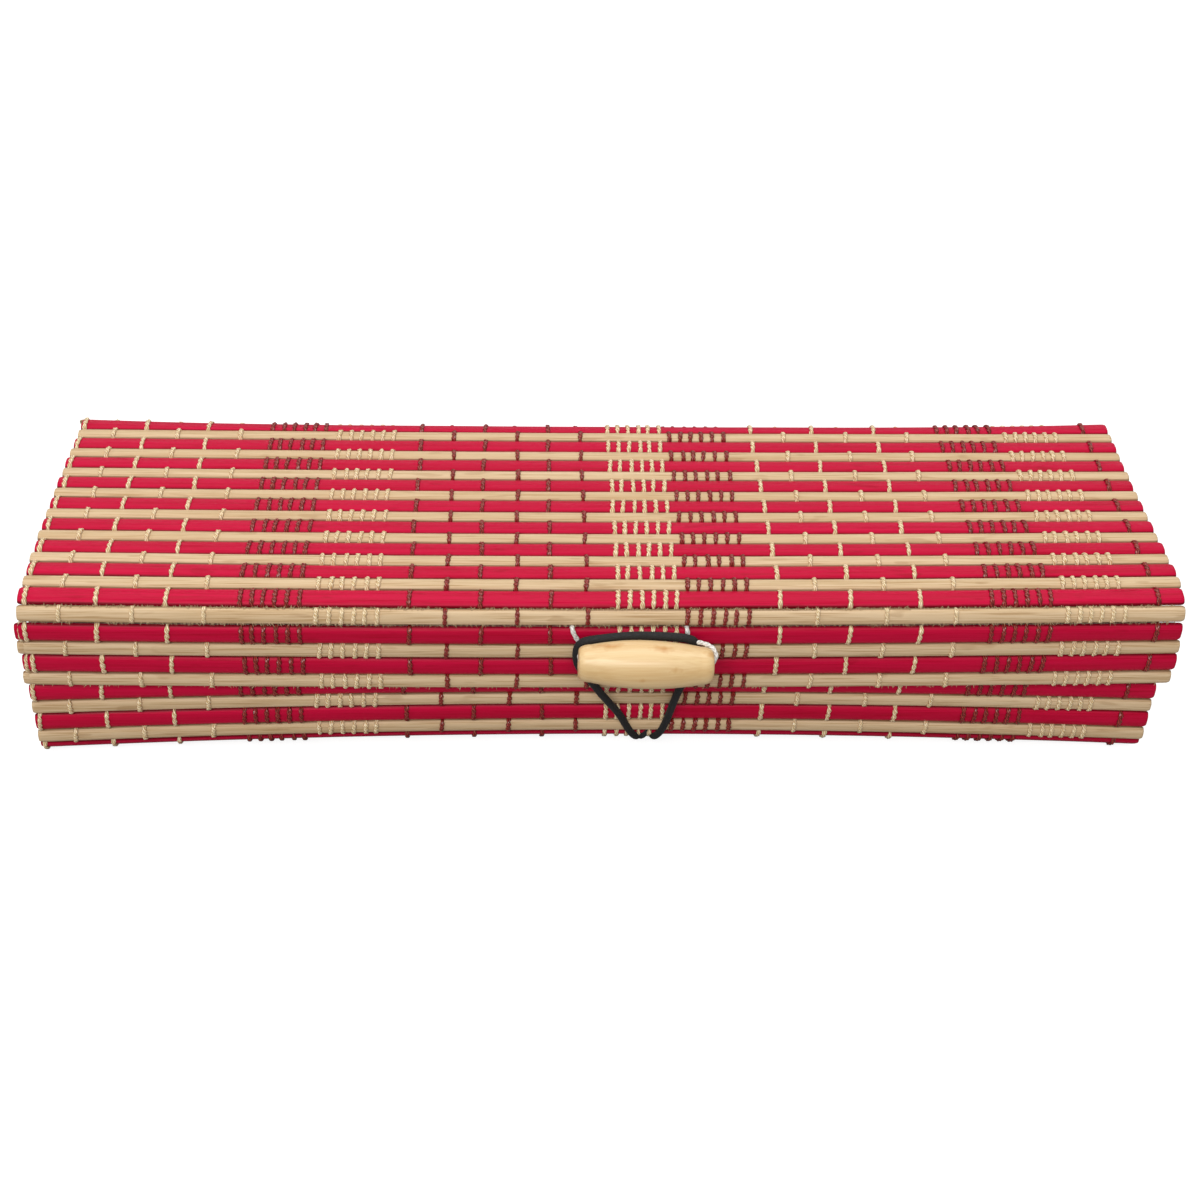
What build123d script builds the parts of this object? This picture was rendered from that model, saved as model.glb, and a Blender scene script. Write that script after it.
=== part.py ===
from build123d import *

import math
import os

# Pencil box made of one woven mat of bamboo slats, folded round two end panels.
# Millimetres. X runs along the slats, -Y is the front with its flap and toggle, Z is up.
# The origin lies on the table, under the middle of the whole box.

# Slats of the mat
slat_length = 220.0
slat_thick = 1.3
red_width = 4.05
natural_width = 3.16
slat_gap = 0.10
fold_gap = 0.40
crown_land = 1.0
crown_rise = 0.45
end_chamfer = 0.70
inner_chamfer = 0.30

# Rows of the mat, which alternate red and natural without a break
lid_rows = 17
flap_rows = 4
back_rows = 9
front_rows = 8

# Headings of the mat's middle line in degrees: 0 runs back, 90 up, 180 forward, 270 down
front_corner_heading = -45.0
back_corner_heading = 45.0
hinge_heading = 135.0
second_last_heading = 184.0
last_lid_heading = 193.0
lid_corner_heading = 247.0
lid_skew = 1.6

# Cloth, end panels and the clearances between moving pieces
lining_thick = 0.25
lining_margin = 1.5
glue_line = 0.05
flap_clearance = 0.35
lid_clearance = 0.15
panel_thick = 3.0
panel_inset = 2.5

# Toggle bead, measured from the middle of the lid and from the flap's face
bead_length = 25.9
bead_radius = 4.65
bead_end_radius = 3.1
bead_bore_radius = 1.0
bead_edge = 0.6
bead_x = 6.8
bead_gap = 0.7
bead_drop = 4.5
bead_tilt = 1.7

# Cords. The string leaves the fold past the bead's left end and short of its right end
string_diameter = 0.8
string_hole = 1.2
string_overhang = 1.6
string_inset = 4.8
string_reach = 1.7
string_break = 0.3
string_knot_radius = 0.9
string_knot_length = 2.2
elastic_diameter = 1.9
elastic_pitch = 2.0
elastic_slot_length = 4.2
elastic_slot_width = 2.3
elastic_x = 8.8
elastic_knot_radius = 2.2
elastic_knot_length = 5.6
cord_sides = 8
knot_taper = 15.0

RED = "red"
NATURAL = "natural"
WIDTH = {RED: red_width, NATURAL: natural_width}
LEFT = -1
RIGHT = 1

# The elastic's middle line lies this far from the bead's axis where it wraps round the bead
wrap_radius = bead_radius + elastic_diameter / 2
bead_standoff = wrap_radius + bead_gap


def stripes(first, count):
    """Colours of a run of rows that starts with the given colour."""
    other = NATURAL if first == RED else RED
    return [first if row % 2 == 0 else other for row in range(count)]


def last_of(first, count):
    """Colour of the last row of such a run."""
    return stripes(first, count)[-1]


def follow(point, heading, distance):
    """The (y, z) point at a distance along a heading."""
    angle = math.radians(heading)
    return (
        point[0] + distance * math.cos(angle),
        point[1] + distance * math.sin(angle),
    )


def outward(point, heading, distance):
    """The (y, z) point at a distance outside the mat's middle line."""
    return follow(point, heading - 90, distance)


def lay_rows(start, colours, headings, gaps):
    """Walk along the middle line: each slat's (colour, centre, heading), and the pivots."""
    pivots = [start]
    slats = []
    for row, (colour, heading) in enumerate(zip(colours, headings)):
        half = WIDTH[colour] / 2
        centre = follow(pivots[-1], heading, gaps[row] / 2 + half)
        slats.append((colour, centre, heading))
        pivots.append(follow(centre, heading, half + gaps[row + 1] / 2))
    return slats, pivots


def meet(first, second):
    """Where two lines cross. A line is a (y, z) point and a heading."""
    (y1, z1), (y2, z2) = first[0], second[0]
    a, b = math.radians(first[1]), math.radians(second[1])
    cross = math.cos(a) * math.sin(b) - math.sin(a) * math.cos(b)
    along = ((y2 - y1) * math.sin(b) - (z2 - z1) * math.cos(b)) / cross
    return follow(first[0], first[1], along)


def inner_line(slat, depth):
    """The line that lies inside one slat's middle line, at a depth."""
    _, centre, heading = slat
    return outward(centre, heading, -depth), heading


# The lid strip, first laid from a hinge pivot at zero: hinge slat, lid, corner slat, flap
lid_colours = [NATURAL] + stripes(RED, lid_rows)
lid_colours += [NATURAL] + stripes(RED, flap_rows)
lid_headings = [hinge_heading] + [180.0] * (lid_rows - 2)
lid_headings += [second_last_heading, last_lid_heading, lid_corner_heading]
lid_headings += [270.0] * flap_rows
lid_gaps = [fold_gap] * 2 + [slat_gap] * (lid_rows - 1)
lid_gaps += [fold_gap] * 2 + [slat_gap] * flap_rows
_, trial_pivots = lay_rows((0.0, 0.0), lid_colours, lid_headings, lid_gaps)
lid_run = trial_pivots[0][0] - trial_pivots[-1][0]

# Where the walls stand, from the lid's length and from what stands in front of the flap
overall_depth = slat_thick + lid_run + bead_standoff + bead_radius
back_wall_y = overall_depth / 2 - slat_thick / 2
flap_y = back_wall_y - lid_run
front_wall_y = flap_y + slat_thick + glue_line + lining_thick + flap_clearance
bottom_z = slat_thick / 2

# The back wall climbs from its corner slat to the hinge
back_first = RED
back_corner_colour = NATURAL
back_corner_run = WIDTH[back_corner_colour] + fold_gap
back_foot = follow((back_wall_y, bottom_z), back_corner_heading, back_corner_run)
back_foot = (back_wall_y, back_foot[1])
back_gaps = [fold_gap] + [slat_gap] * (back_rows - 1) + [fold_gap]
back_slats, back_pivots = lay_rows(
    back_foot, stripes(back_first, back_rows), [90.0] * back_rows, back_gaps
)
hinge_pivot = back_pivots[-1]

lid_slats, lid_pivots = lay_rows(hinge_pivot, lid_colours, lid_headings, lid_gaps)
hinge_slat = lid_slats[0]
lid_run_slats = lid_slats[1 : lid_rows + 1]
corner_slat = lid_slats[lid_rows + 1]
flap_slats = lid_slats[lid_rows + 2 :]
lid_pivot = lid_pivots[1]
corner_pivot = lid_pivots[lid_rows + 1]
flap_pivot = lid_pivots[lid_rows + 2]

# The front wall drops from its top row to its corner slat
front_corner_colour = RED
front_corner_run = WIDTH[front_corner_colour] + fold_gap
front_foot_z = bottom_z - front_corner_run * math.sin(math.radians(front_corner_heading))
front_gaps = [slat_gap] * front_rows + [fold_gap]
front_colours = stripes(last_of(NATURAL, front_rows), front_rows)
front_height = sum(WIDTH[c] for c in front_colours) + (front_rows - 0.5) * slat_gap
front_height += fold_gap / 2
front_slats, front_pivots = lay_rows(
    (front_wall_y, front_foot_z + front_height),
    front_colours,
    [-90.0] * front_rows,
    front_gaps,
)
front_corner_slats, front_corner_pivots = lay_rows(
    front_pivots[-1], [front_corner_colour], [front_corner_heading], [fold_gap] * 2
)
front_corner_slat = front_corner_slats[0]

# The bottom spreads its rows evenly between the two corner slats
bottom_rows = lid_rows - 1
bottom_colours = stripes(NATURAL, bottom_rows)
bottom_start = front_corner_pivots[-1]
bottom_end_y = back_wall_y - back_corner_run * math.cos(math.radians(back_corner_heading))
bottom_spare = bottom_end_y - bottom_start[0] - sum(WIDTH[c] for c in bottom_colours)
bottom_gap = bottom_spare / bottom_rows
bottom_slats, bottom_pivots = lay_rows(
    bottom_start, bottom_colours, [0.0] * bottom_rows, [bottom_gap] * (bottom_rows + 1)
)
back_corner_slats, _ = lay_rows(
    bottom_pivots[-1], [back_corner_colour], [back_corner_heading], [fold_gap] * 2
)
back_corner_slat = back_corner_slats[0]

base_x = -lid_skew / 2
lid_x = lid_skew / 2
box_height = lid_run_slats[0][1][1] + slat_thick / 2


def slat_plane(slat, x):
    """Plane on a slat's middle: X along the slat, Z out of its outer face."""
    _, (y, z), heading = slat
    normal = outward((0.0, 0.0), heading, 1.0)
    return Plane(origin=(x, y, z), x_dir=(1, 0, 0), z_dir=(0, normal[0], normal[1]))


def carve_slat(width):
    """One slat on the XY plane: its outer face up, with a flat land between eased shoulders."""
    top = slat_thick / 2
    side = width / 2
    land = crown_land / 2
    shoulder = top - crown_rise
    with BuildPart() as blank:
        with BuildSketch(Plane.YZ.offset(-slat_length / 2)) as section:
            with BuildLine():
                Line((-land, top), (land, top))
                TangentArc((land, top), (side, shoulder), tangent=(1, 0))
                Polyline((side, shoulder), (side, -top), (-side, -top), (-side, shoulder))
                TangentArc((-land, top), (-side, shoulder), tangent=(-1, 0))
            make_face()
            chamfer(section.vertices().group_by(Axis.Y)[0], inner_chamfer)
        extrude(amount=slat_length)
        with BuildSketch(Plane.XY.offset(-top)) as outline:
            Rectangle(slat_length, width)
            chamfer(outline.vertices(), end_chamfer)
        extrude(amount=slat_thick, mode=Mode.INTERSECT)
    return blank.part


blank_slat = {colour: carve_slat(width) for colour, width in WIDTH.items()}


def save(part, name):
    """Label a finished piece and write it as its own file."""
    part.label = name
    export_step(part, f"parts/{name}.step")


def weave_rows(slats, colour, x, name):
    """The slats of one colour in a panel of the mat, as separate solids of one node."""
    with BuildPart() as rows:
        for slat in slats:
            if slat[0] == colour:
                with Locations(slat_plane(slat, x).location):
                    add(blank_slat[colour])
    save(rows.part, name)


def bends_of(slats):
    """The first slat of each flat stretch."""
    bends = []
    for slat in slats:
        if not bends or slat[2] != bends[-1][2]:
            bends.append(slat)
    return bends


def contour(slats, depth, trim_start, trim_end):
    """Points along the inside of a run of slats, at a depth under its middle line."""
    first, last = slats[0], slats[-1]
    lines = [inner_line(slat, depth) for slat in bends_of(slats)]
    head = trim_start - WIDTH[first[0]] / 2
    tail = WIDTH[last[0]] / 2 - trim_end
    points = [follow(inner_line(first, depth)[0], first[2], head)]
    points += [meet(a, b) for a, b in zip(lines, lines[1:])]
    points += [follow(inner_line(last, depth)[0], last[2], tail)]
    return points


def sew_cloth(slats, x, length, trim_start, trim_end):
    """A strip of cloth glued inside a run of slats, held back from the run's two edges."""
    near = contour(slats, slat_thick / 2 + glue_line, trim_start, trim_end)
    far = contour(slats, slat_thick / 2 + glue_line + lining_thick, trim_start, trim_end)
    with BuildPart() as strip:
        with BuildSketch(Plane.YZ.offset(x - length / 2)):
            with BuildLine():
                Polyline(*near, *far[::-1], close=True)
            make_face()
        extrude(amount=length)
    return strip.part


os.makedirs("parts", exist_ok=True)

# Mat of the base
weave_rows(front_slats, RED, base_x, "front_wall_slats_red")
weave_rows(front_slats, NATURAL, base_x, "front_wall_slats_natural")
weave_rows(bottom_slats, RED, base_x, "bottom_slats_red")
weave_rows(bottom_slats, NATURAL, base_x, "bottom_slats_natural")
weave_rows(back_slats, RED, base_x, "back_wall_slats_red")
weave_rows(back_slats, NATURAL, base_x, "back_wall_slats_natural")
weave_rows([back_corner_slat], back_corner_colour, base_x, "back_bottom_slat")

# Mat of the lid and flap
weave_rows([hinge_slat], NATURAL, base_x + lid_skew / 2, "hinge_slat")
weave_rows(lid_run_slats, RED, lid_x, "lid_slats_red")
weave_rows(lid_run_slats, NATURAL, lid_x, "lid_slats_natural")
weave_rows(flap_slats, NATURAL, lid_x, "flap_slats_natural")

# The slat at the foot of the front wall, with the slot that the elastic comes out of
slot_plane = slat_plane(front_corner_slat, elastic_x)
slot_depth = 2 * slat_thick
with BuildPart() as front_bottom_slat:
    with Locations(slat_plane(front_corner_slat, base_x).location):
        add(blank_slat[front_corner_colour])
    with BuildSketch(slot_plane):
        SlotOverall(elastic_slot_length, elastic_slot_width)
    extrude(amount=slot_depth, both=True, mode=Mode.SUBTRACT)
save(front_bottom_slat.part, "front_bottom_slat")

# Holes in the fold above the flap, where the bead's string comes out
bead_centre_x = lid_x + bead_x
string_xs = [
    bead_centre_x - bead_length / 2 - string_overhang,
    bead_centre_x + bead_length / 2 - string_inset,
]
string_heading = (corner_slat[2] + flap_slats[0][2]) / 2
exit_normal = outward((0.0, 0.0), string_heading, 1.0)


def exit_plane(x, reach):
    """Plane across the string's way out of the fold, at a reach from the pivot."""
    y, z = outward(flap_pivot, string_heading, reach)
    return Plane(origin=(x, y, z), x_dir=(1, 0, 0), z_dir=(0, exit_normal[0], exit_normal[1]))


with BuildPart() as string_drill:
    for x in string_xs:
        with BuildSketch(exit_plane(x, 0.0)):
            Circle(string_hole / 2)
        extrude(amount=2 * slat_thick, both=True)


with BuildPart() as front_corner:
    with Locations(slat_plane(corner_slat, lid_x).location):
        add(blank_slat[corner_slat[0]])
    add(string_drill.part, mode=Mode.SUBTRACT)
save(front_corner.part, "front_corner_slat")

with BuildPart() as flap_red:
    for flap_slat in flap_slats:
        if flap_slat[0] == RED:
            with Locations(slat_plane(flap_slat, lid_x).location):
                add(blank_slat[RED])
    add(string_drill.part, mode=Mode.SUBTRACT)
save(flap_red.part, "flap_slats_red")

# End panels, cut to the inside of the mat, with a clearance under the lid
panel_bed = slat_thick / 2 + glue_line
lid_depth = panel_bed + lining_thick + lid_clearance
panel_slats = [front_slats[0], front_corner_slat, bottom_slats[0], back_corner_slat]
panel_slats += [back_slats[0]]
panel_lines = [inner_line(slat, panel_bed) for slat in panel_slats]
panel_lines += [inner_line(hinge_slat, lid_depth)]
panel_lines += [inner_line(lid_run_slats[i], lid_depth) for i in (0, -2, -1)]
panel_outline = [meet(a, b) for a, b in zip(panel_lines, panel_lines[1:] + panel_lines[:1])]
panel_reach = slat_length / 2 - panel_inset - panel_thick


def saw_end_panel(x, name):
    """One thin wooden end panel, from x to x plus its thickness."""
    with BuildPart() as panel:
        with BuildSketch(Plane.YZ.offset(x)):
            Polygon(*panel_outline, align=None)
        extrude(amount=panel_thick)
    save(panel.part, name)


saw_end_panel(base_x - panel_reach - panel_thick, "left_end_panel")
saw_end_panel(base_x + panel_reach, "right_end_panel")

# Cloth linings
base_slats = front_slats + [front_corner_slat] + bottom_slats + [back_corner_slat] + back_slats
base_cloth_length = 2 * (panel_reach - glue_line)
base_lining = sew_cloth(base_slats, base_x, base_cloth_length, lining_thick, lining_thick)
with BuildPart() as lining:
    add(base_lining)
    with BuildSketch(slot_plane):
        SlotOverall(elastic_slot_length, elastic_slot_width)
    extrude(amount=slot_depth, both=True, mode=Mode.SUBTRACT)
save(lining.part, "base_lining")

lid_cloth_length = slat_length - 2 * lining_margin
save(sew_cloth([hinge_slat], 0.0, lid_cloth_length, fold_gap, fold_gap), "hinge_lining")
save(sew_cloth(lid_run_slats, lid_x, lid_cloth_length, 0.0, 2 * fold_gap), "lid_lining")

with BuildPart() as corner_cloth:
    add(sew_cloth([corner_slat], lid_x, lid_cloth_length, 2 * fold_gap, fold_gap))
    add(string_drill.part, mode=Mode.SUBTRACT)
save(corner_cloth.part, "corner_lining")

with BuildPart() as flap_cloth:
    add(sew_cloth(flap_slats, lid_x, lid_cloth_length, fold_gap, 0.0))
    add(string_drill.part, mode=Mode.SUBTRACT)
save(flap_cloth.part, "flap_lining")

# Toggle bead: a barrel of boxwood, bored from end to end
flap_face_y = flap_y - slat_thick / 2
bead_centre = (bead_centre_x, flap_face_y - bead_standoff, flap_pivot[1] - bead_drop)
tilt = math.radians(bead_tilt)
bead_axis = (math.cos(tilt), 0.0, -math.sin(tilt))
bead_plane = Plane(origin=bead_centre, x_dir=bead_axis, z_dir=(0, -1, 0))
with BuildPart() as bead:
    with BuildSketch(bead_plane):
        with BuildLine():
            Line((-bead_length / 2, bead_bore_radius), (-bead_length / 2, bead_end_radius))
            ThreePointArc(
                (-bead_length / 2, bead_end_radius),
                (0, bead_radius),
                (bead_length / 2, bead_end_radius),
            )
            Line((bead_length / 2, bead_end_radius), (bead_length / 2, bead_bore_radius))
            Line((bead_length / 2, bead_bore_radius), (-bead_length / 2, bead_bore_radius))
        make_face()
    revolve(axis=Axis(bead_centre, bead_axis))
    rims = bead.edges().filter_by(GeomType.CIRCLE)
    rims = rims.filter_by(lambda rim: abs(rim.radius - bead_end_radius) < bead_edge / 10)
    chamfer(rims, bead_edge)
save(bead.part, "toggle_bead")


def bend_radii(points):
    """The largest even radius for each corner of a route, from its two runs and its turn."""
    radii = []
    for before, corner, after in zip(points, points[1:], points[2:]):
        run_in = Vector(*corner) - Vector(*before)
        run_out = Vector(*after) - Vector(*corner)
        half_turn = math.radians(run_in.get_angle(run_out)) / 2
        shorter = min(run_in.length, run_out.length)
        radii.append(0.45 * shorter / math.tan(half_turn))
    return radii


def lay_cord(points, diameter, name):
    """A cord along a route of straight runs and tangent arcs, its round section as flats."""
    radii = bend_radii(points)
    with BuildPart() as cord:
        with BuildLine() as route:
            FilletPolyline(*points, radius=radii)
        wire = route.wire()
        with BuildSketch(Plane(origin=wire @ 0, z_dir=wire % 0)):
            section = RegularPolygon(diameter / 2, cord_sides)
        sweep(path=wire)
    expected = section.area * wire.length
    print(name, "length", round(wire.length, 1), "least radius", round(min(radii), 2))
    print(name, "volume", round(cord.part.volume, 2), "of", round(expected, 2))
    return cord.part


def beside_bead(end, along, back, up):
    """A point seen from the middle of one end of the bead, in shares of the wrap radius."""
    x = bead_centre[0] + end * bead_length / 2 + along * wrap_radius
    return (x, bead_centre[1] + back * wrap_radius, bead_centre[2] + up * wrap_radius)


def on_bead_axis(end, beyond):
    """A point on the bead's axis, beyond one end by a share of the wrap radius."""
    reach = end * (bead_length / 2 + beyond * wrap_radius)
    return tuple(middle + reach * step for middle, step in zip(bead_centre, bead_axis))


def from_slot(along, back, up):
    """A point seen from the middle of the elastic's slot, in shares of its diameter."""
    _, (y, z), _ = front_corner_slat
    x = elastic_x + along * elastic_diameter
    return (x, y + back * elastic_diameter, z + up * elastic_diameter)


# White string: out of the fold, behind the elastic, through the bead and back
string_points = [
    tuple(exit_plane(string_xs[0], 0.0).origin),
    tuple(exit_plane(string_xs[0], string_reach).origin),
    beside_bead(LEFT, -0.170, 1.041, 0.518),
    beside_bead(LEFT, 0.152, 1.036, 0.161),
    beside_bead(LEFT, 0.223, 0.804, -0.071),
    beside_bead(LEFT, -0.134, 0.536, -0.125),
    beside_bead(LEFT, -0.295, 0.161, -0.054),
    on_bead_axis(LEFT, 0.241),
    on_bead_axis(RIGHT, 0.241),
    beside_bead(RIGHT, 0.277, 0.179, 0.161),
    beside_bead(RIGHT, 0.116, 0.473, 0.339),
    beside_bead(RIGHT, -0.366, 0.643, 0.339),
    beside_bead(RIGHT, -0.813, 0.714, 0.268),
    beside_bead(RIGHT, -0.938, 1.027, 0.214),
    beside_bead(RIGHT, -0.902, 1.041, 0.571),
    tuple(exit_plane(string_xs[1], string_reach).origin),
    tuple(exit_plane(string_xs[1], 0.0).origin),
]
save(lay_cord(string_points, string_diameter, "bead_string"), "bead_string")

# The string's two knots, inside the fold, each with the short end that leads out to it
knot_depth = slat_thick + string_knot_radius
with BuildPart() as knots:
    for knot_x in string_xs:
        with BuildSketch(exit_plane(knot_x, -string_break)):
            RegularPolygon(string_diameter / 2, cord_sides)
        extrude(amount=string_break - knot_depth)
        with BuildSketch(exit_plane(knot_x, -knot_depth)):
            RegularPolygon(string_knot_radius, cord_sides)
        extrude(amount=string_knot_length / 2, both=True, taper=knot_taper)
save(knots.part, "string_knots")

# Black elastic: out of the slot, up behind the bead, over its back and down again
elastic_points = [
    from_slot(-0.526, 0.158, 0.158),
    from_slot(-0.632, -0.632, -0.526),
    from_slot(-1.158, -1.579, -0.053),
    from_slot(-1.895, -1.895, 1.368),
    from_slot(-2.842, -2.211, 3.684),
    beside_bead(LEFT, 0.955, 0.875, -2.179),
    beside_bead(LEFT, 0.277, 0.911, -1.107),
    beside_bead(LEFT, -0.152, 0.911, -0.214),
    beside_bead(LEFT, -0.116, 0.786, 0.304),
    beside_bead(LEFT, 0.366, 0.741, 0.607),
    beside_bead(LEFT, 1.491, 0.741, 0.696),
    beside_bead(RIGHT, -1.777, 0.750, 0.696),
    beside_bead(RIGHT, -0.920, 0.723, 0.625),
    beside_bead(RIGHT, -0.384, 0.946, 0.482),
    beside_bead(RIGHT, -0.545, 0.946, -0.179),
    beside_bead(RIGHT, -0.884, 0.929, -1.107),
    beside_bead(RIGHT, -1.205, 0.875, -2.179),
    from_slot(2.316, -2.211, 3.684),
    from_slot(1.789, -1.895, 1.368),
    from_slot(1.158, -1.579, -0.053),
    from_slot(0.632, -0.632, -0.526),
    from_slot(0.526, 0.158, 0.158),
]
save(lay_cord(elastic_points, elastic_diameter, "elastic_loop"), "elastic_loop")

# Knot of the elastic against the lining, with the two short ends that go through the slot
knot_bed = panel_bed + lining_thick + glue_line
elastic_knot_depth = knot_bed + elastic_knot_radius
knot_middle = outward(front_corner_slat[1], front_corner_heading, -elastic_knot_depth)
with BuildPart() as elastic_end:
    with BuildSketch(slot_plane.offset(-panel_bed)):
        with GridLocations(elastic_pitch, 1.0, 2, 1):
            RegularPolygon(elastic_diameter / 2, cord_sides)
    extrude(amount=panel_bed - elastic_knot_depth)
    with BuildSketch(Plane(origin=(elastic_x, *knot_middle), z_dir=(1, 0, 0))):
        RegularPolygon(elastic_knot_radius, cord_sides)
    extrude(amount=elastic_knot_length / 2, both=True, taper=knot_taper)
save(elastic_end.part, "elastic_knot")

print("overall depth", round(overall_depth, 2), "height", round(box_height, 2))
print("bottom gap", round(bottom_gap, 3), "back wall y", round(back_wall_y, 2))
for pivot_name, pivot in (
    ("hinge", hinge_pivot),
    ("lid", lid_pivot),
    ("corner", corner_pivot),
    ("flap", flap_pivot),
):
    print(pivot_name, "pivot", round(pivot[0], 3), round(pivot[1], 3))
print("bead centre", [round(v, 3) for v in bead_centre])
print("slot middle", round(slot_plane.origin.Y, 3), round(slot_plane.origin.Z, 3))
print("string exit", [round(v, 3) for v in string_points[0]])
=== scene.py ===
"""Looks of a pencil box folded from one woven mat of bamboo slats.

Lengths are in metres in the row frame: X runs along the slats, -Y is the front with its flap and
toggle, and Z is up from the table.
"""

import logging
import math
import random
from dataclasses import dataclass, field
from enum import Enum

import bpy
import numpy as np
from mathutils import Matrix, Vector


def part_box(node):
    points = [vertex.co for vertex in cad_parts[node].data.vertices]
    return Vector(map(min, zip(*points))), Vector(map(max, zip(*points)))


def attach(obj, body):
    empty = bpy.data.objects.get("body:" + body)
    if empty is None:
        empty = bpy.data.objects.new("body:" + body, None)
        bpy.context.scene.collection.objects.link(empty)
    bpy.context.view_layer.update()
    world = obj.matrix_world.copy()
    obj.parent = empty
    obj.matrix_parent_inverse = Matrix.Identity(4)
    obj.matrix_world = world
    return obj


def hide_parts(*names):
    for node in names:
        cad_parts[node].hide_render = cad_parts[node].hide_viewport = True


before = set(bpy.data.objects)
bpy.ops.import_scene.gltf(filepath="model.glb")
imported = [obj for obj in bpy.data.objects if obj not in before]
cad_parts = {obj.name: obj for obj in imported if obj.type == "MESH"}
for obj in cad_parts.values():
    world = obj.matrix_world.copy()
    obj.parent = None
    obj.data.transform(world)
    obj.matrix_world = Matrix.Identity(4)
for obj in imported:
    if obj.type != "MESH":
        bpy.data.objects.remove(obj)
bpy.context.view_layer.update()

MM = 0.001
log = logging.getLogger("pencil_box")

Points = np.ndarray
Faces = list[tuple[int, ...]]
RGB = tuple[float, float, float]
Place = tuple[float, float, float]
Socket = bpy.types.NodeSocket
Value = Socket | float | tuple[float, ...]


class Dye(Enum):
    """Colours that the slats come in."""

    RED = "red"
    NATURAL = "natural"


class Yarn(Enum):
    """Colours of the warp threads."""

    CREAM = "cream"
    MAROON = "maroon"


class Panel(Enum):
    """The two stretches of the mat that bow on their own."""

    BASE = "base"
    LID = "lid"


class Graph:
    """A node tree that is built one node at a time."""

    def __init__(self, tree: bpy.types.NodeTree) -> None:
        """Take an empty tree."""
        self.tree = tree

    def add(self, kind: str, settings: dict[str, object] | None = None, **inputs: Value) -> bpy.types.Node:
        """Add a node.

        Args:
            kind: The node's type name.
            settings: Attributes to set on the node.
            inputs: Input sockets by name, with spaces as underscores, or by number after one.

        Returns:
            The new node.
        """
        node = self.tree.nodes.new(kind)
        for name, value in (settings or {}).items():
            setattr(node, name, value)
        for name, value in inputs.items():
            key = int(name[1:]) if name[0] == "_" else name.replace("_", " ")
            self.feed(node.inputs[key], value)
        return node

    def feed(self, socket: Socket, value: Value) -> None:
        """Link a socket to another, or set its value.

        Args:
            socket: The input socket.
            value: An output socket to link from, or a plain value.
        """
        if isinstance(value, Socket):
            self.tree.links.new(value, socket)
        else:
            socket.default_value = value

    def math(self, operation: str, first: Value, second: Value = 0.0, clamp: bool = False) -> Socket:
        """Add a Math node and return its output."""
        settings = {"operation": operation, "use_clamp": clamp}
        return self.add("ShaderNodeMath", settings, _0=first, _1=second).outputs[0]

    def blend(self, share: Value, first: Value, second: Value) -> Socket:
        """Mix two colours by a share and return the colour."""
        settings = {"data_type": "RGBA", "blend_type": "MIX"}
        return self.add("ShaderNodeMix", settings, _0=share, _6=first, _7=second).outputs[2]

    def spread(
        self, value: Socket, low: float, high: float, to_low: float = 0.0, to_high: float = 1.0
    ) -> Socket:
        """Map a value's range to another, clamped.

        Args:
            value: The value to map.
            low: Start of its range.
            high: End of its range.
            to_low: What the start becomes.
            to_high: What the end becomes.

        Returns:
            The mapped value.
        """
        node = self.add("ShaderNodeMapRange", None, Value=value)
        ends = {"From Min": low, "From Max": high, "To Min": to_low, "To Max": to_high}
        for name, number in ends.items():
            node.inputs[name].default_value = number
        return node.outputs[0]

    def noise(self, vector: Socket, scale: float, detail: float = 2.0) -> Socket:
        """Add a noise over a vector and return its value."""
        node = self.add("ShaderNodeTexNoise", None, Vector=vector, Scale=scale, Detail=detail, Roughness=0.5)
        return node.outputs[0]


def shader_group(
    name: str, inputs: dict[str, float | str], outputs: dict[str, str]
) -> tuple[Graph, bpy.types.Node, bpy.types.Node]:
    """Start a shader node group with named sockets.

    Args:
        name: The group's name.
        inputs: Socket names with a default: a float, or the word vector.
        outputs: Socket names with a kind: float or color.

    Returns:
        The graph, its input node and its output node.
    """
    tree = bpy.data.node_groups.new(name, "ShaderNodeTree")
    kinds = {"float": "NodeSocketFloat", "color": "NodeSocketColor", "vector": "NodeSocketVector"}
    for label, default in inputs.items():
        kind = "vector" if default == "vector" else "float"
        socket = tree.interface.new_socket(label, in_out="INPUT", socket_type=kinds[kind])
        if kind == "float":
            socket.default_value = default
    for label, kind in outputs.items():
        tree.interface.new_socket(label, in_out="OUTPUT", socket_type=kinds[kind])
    graph = Graph(tree)
    return graph, graph.add("NodeGroupInput"), graph.add("NodeGroupOutput")


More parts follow.
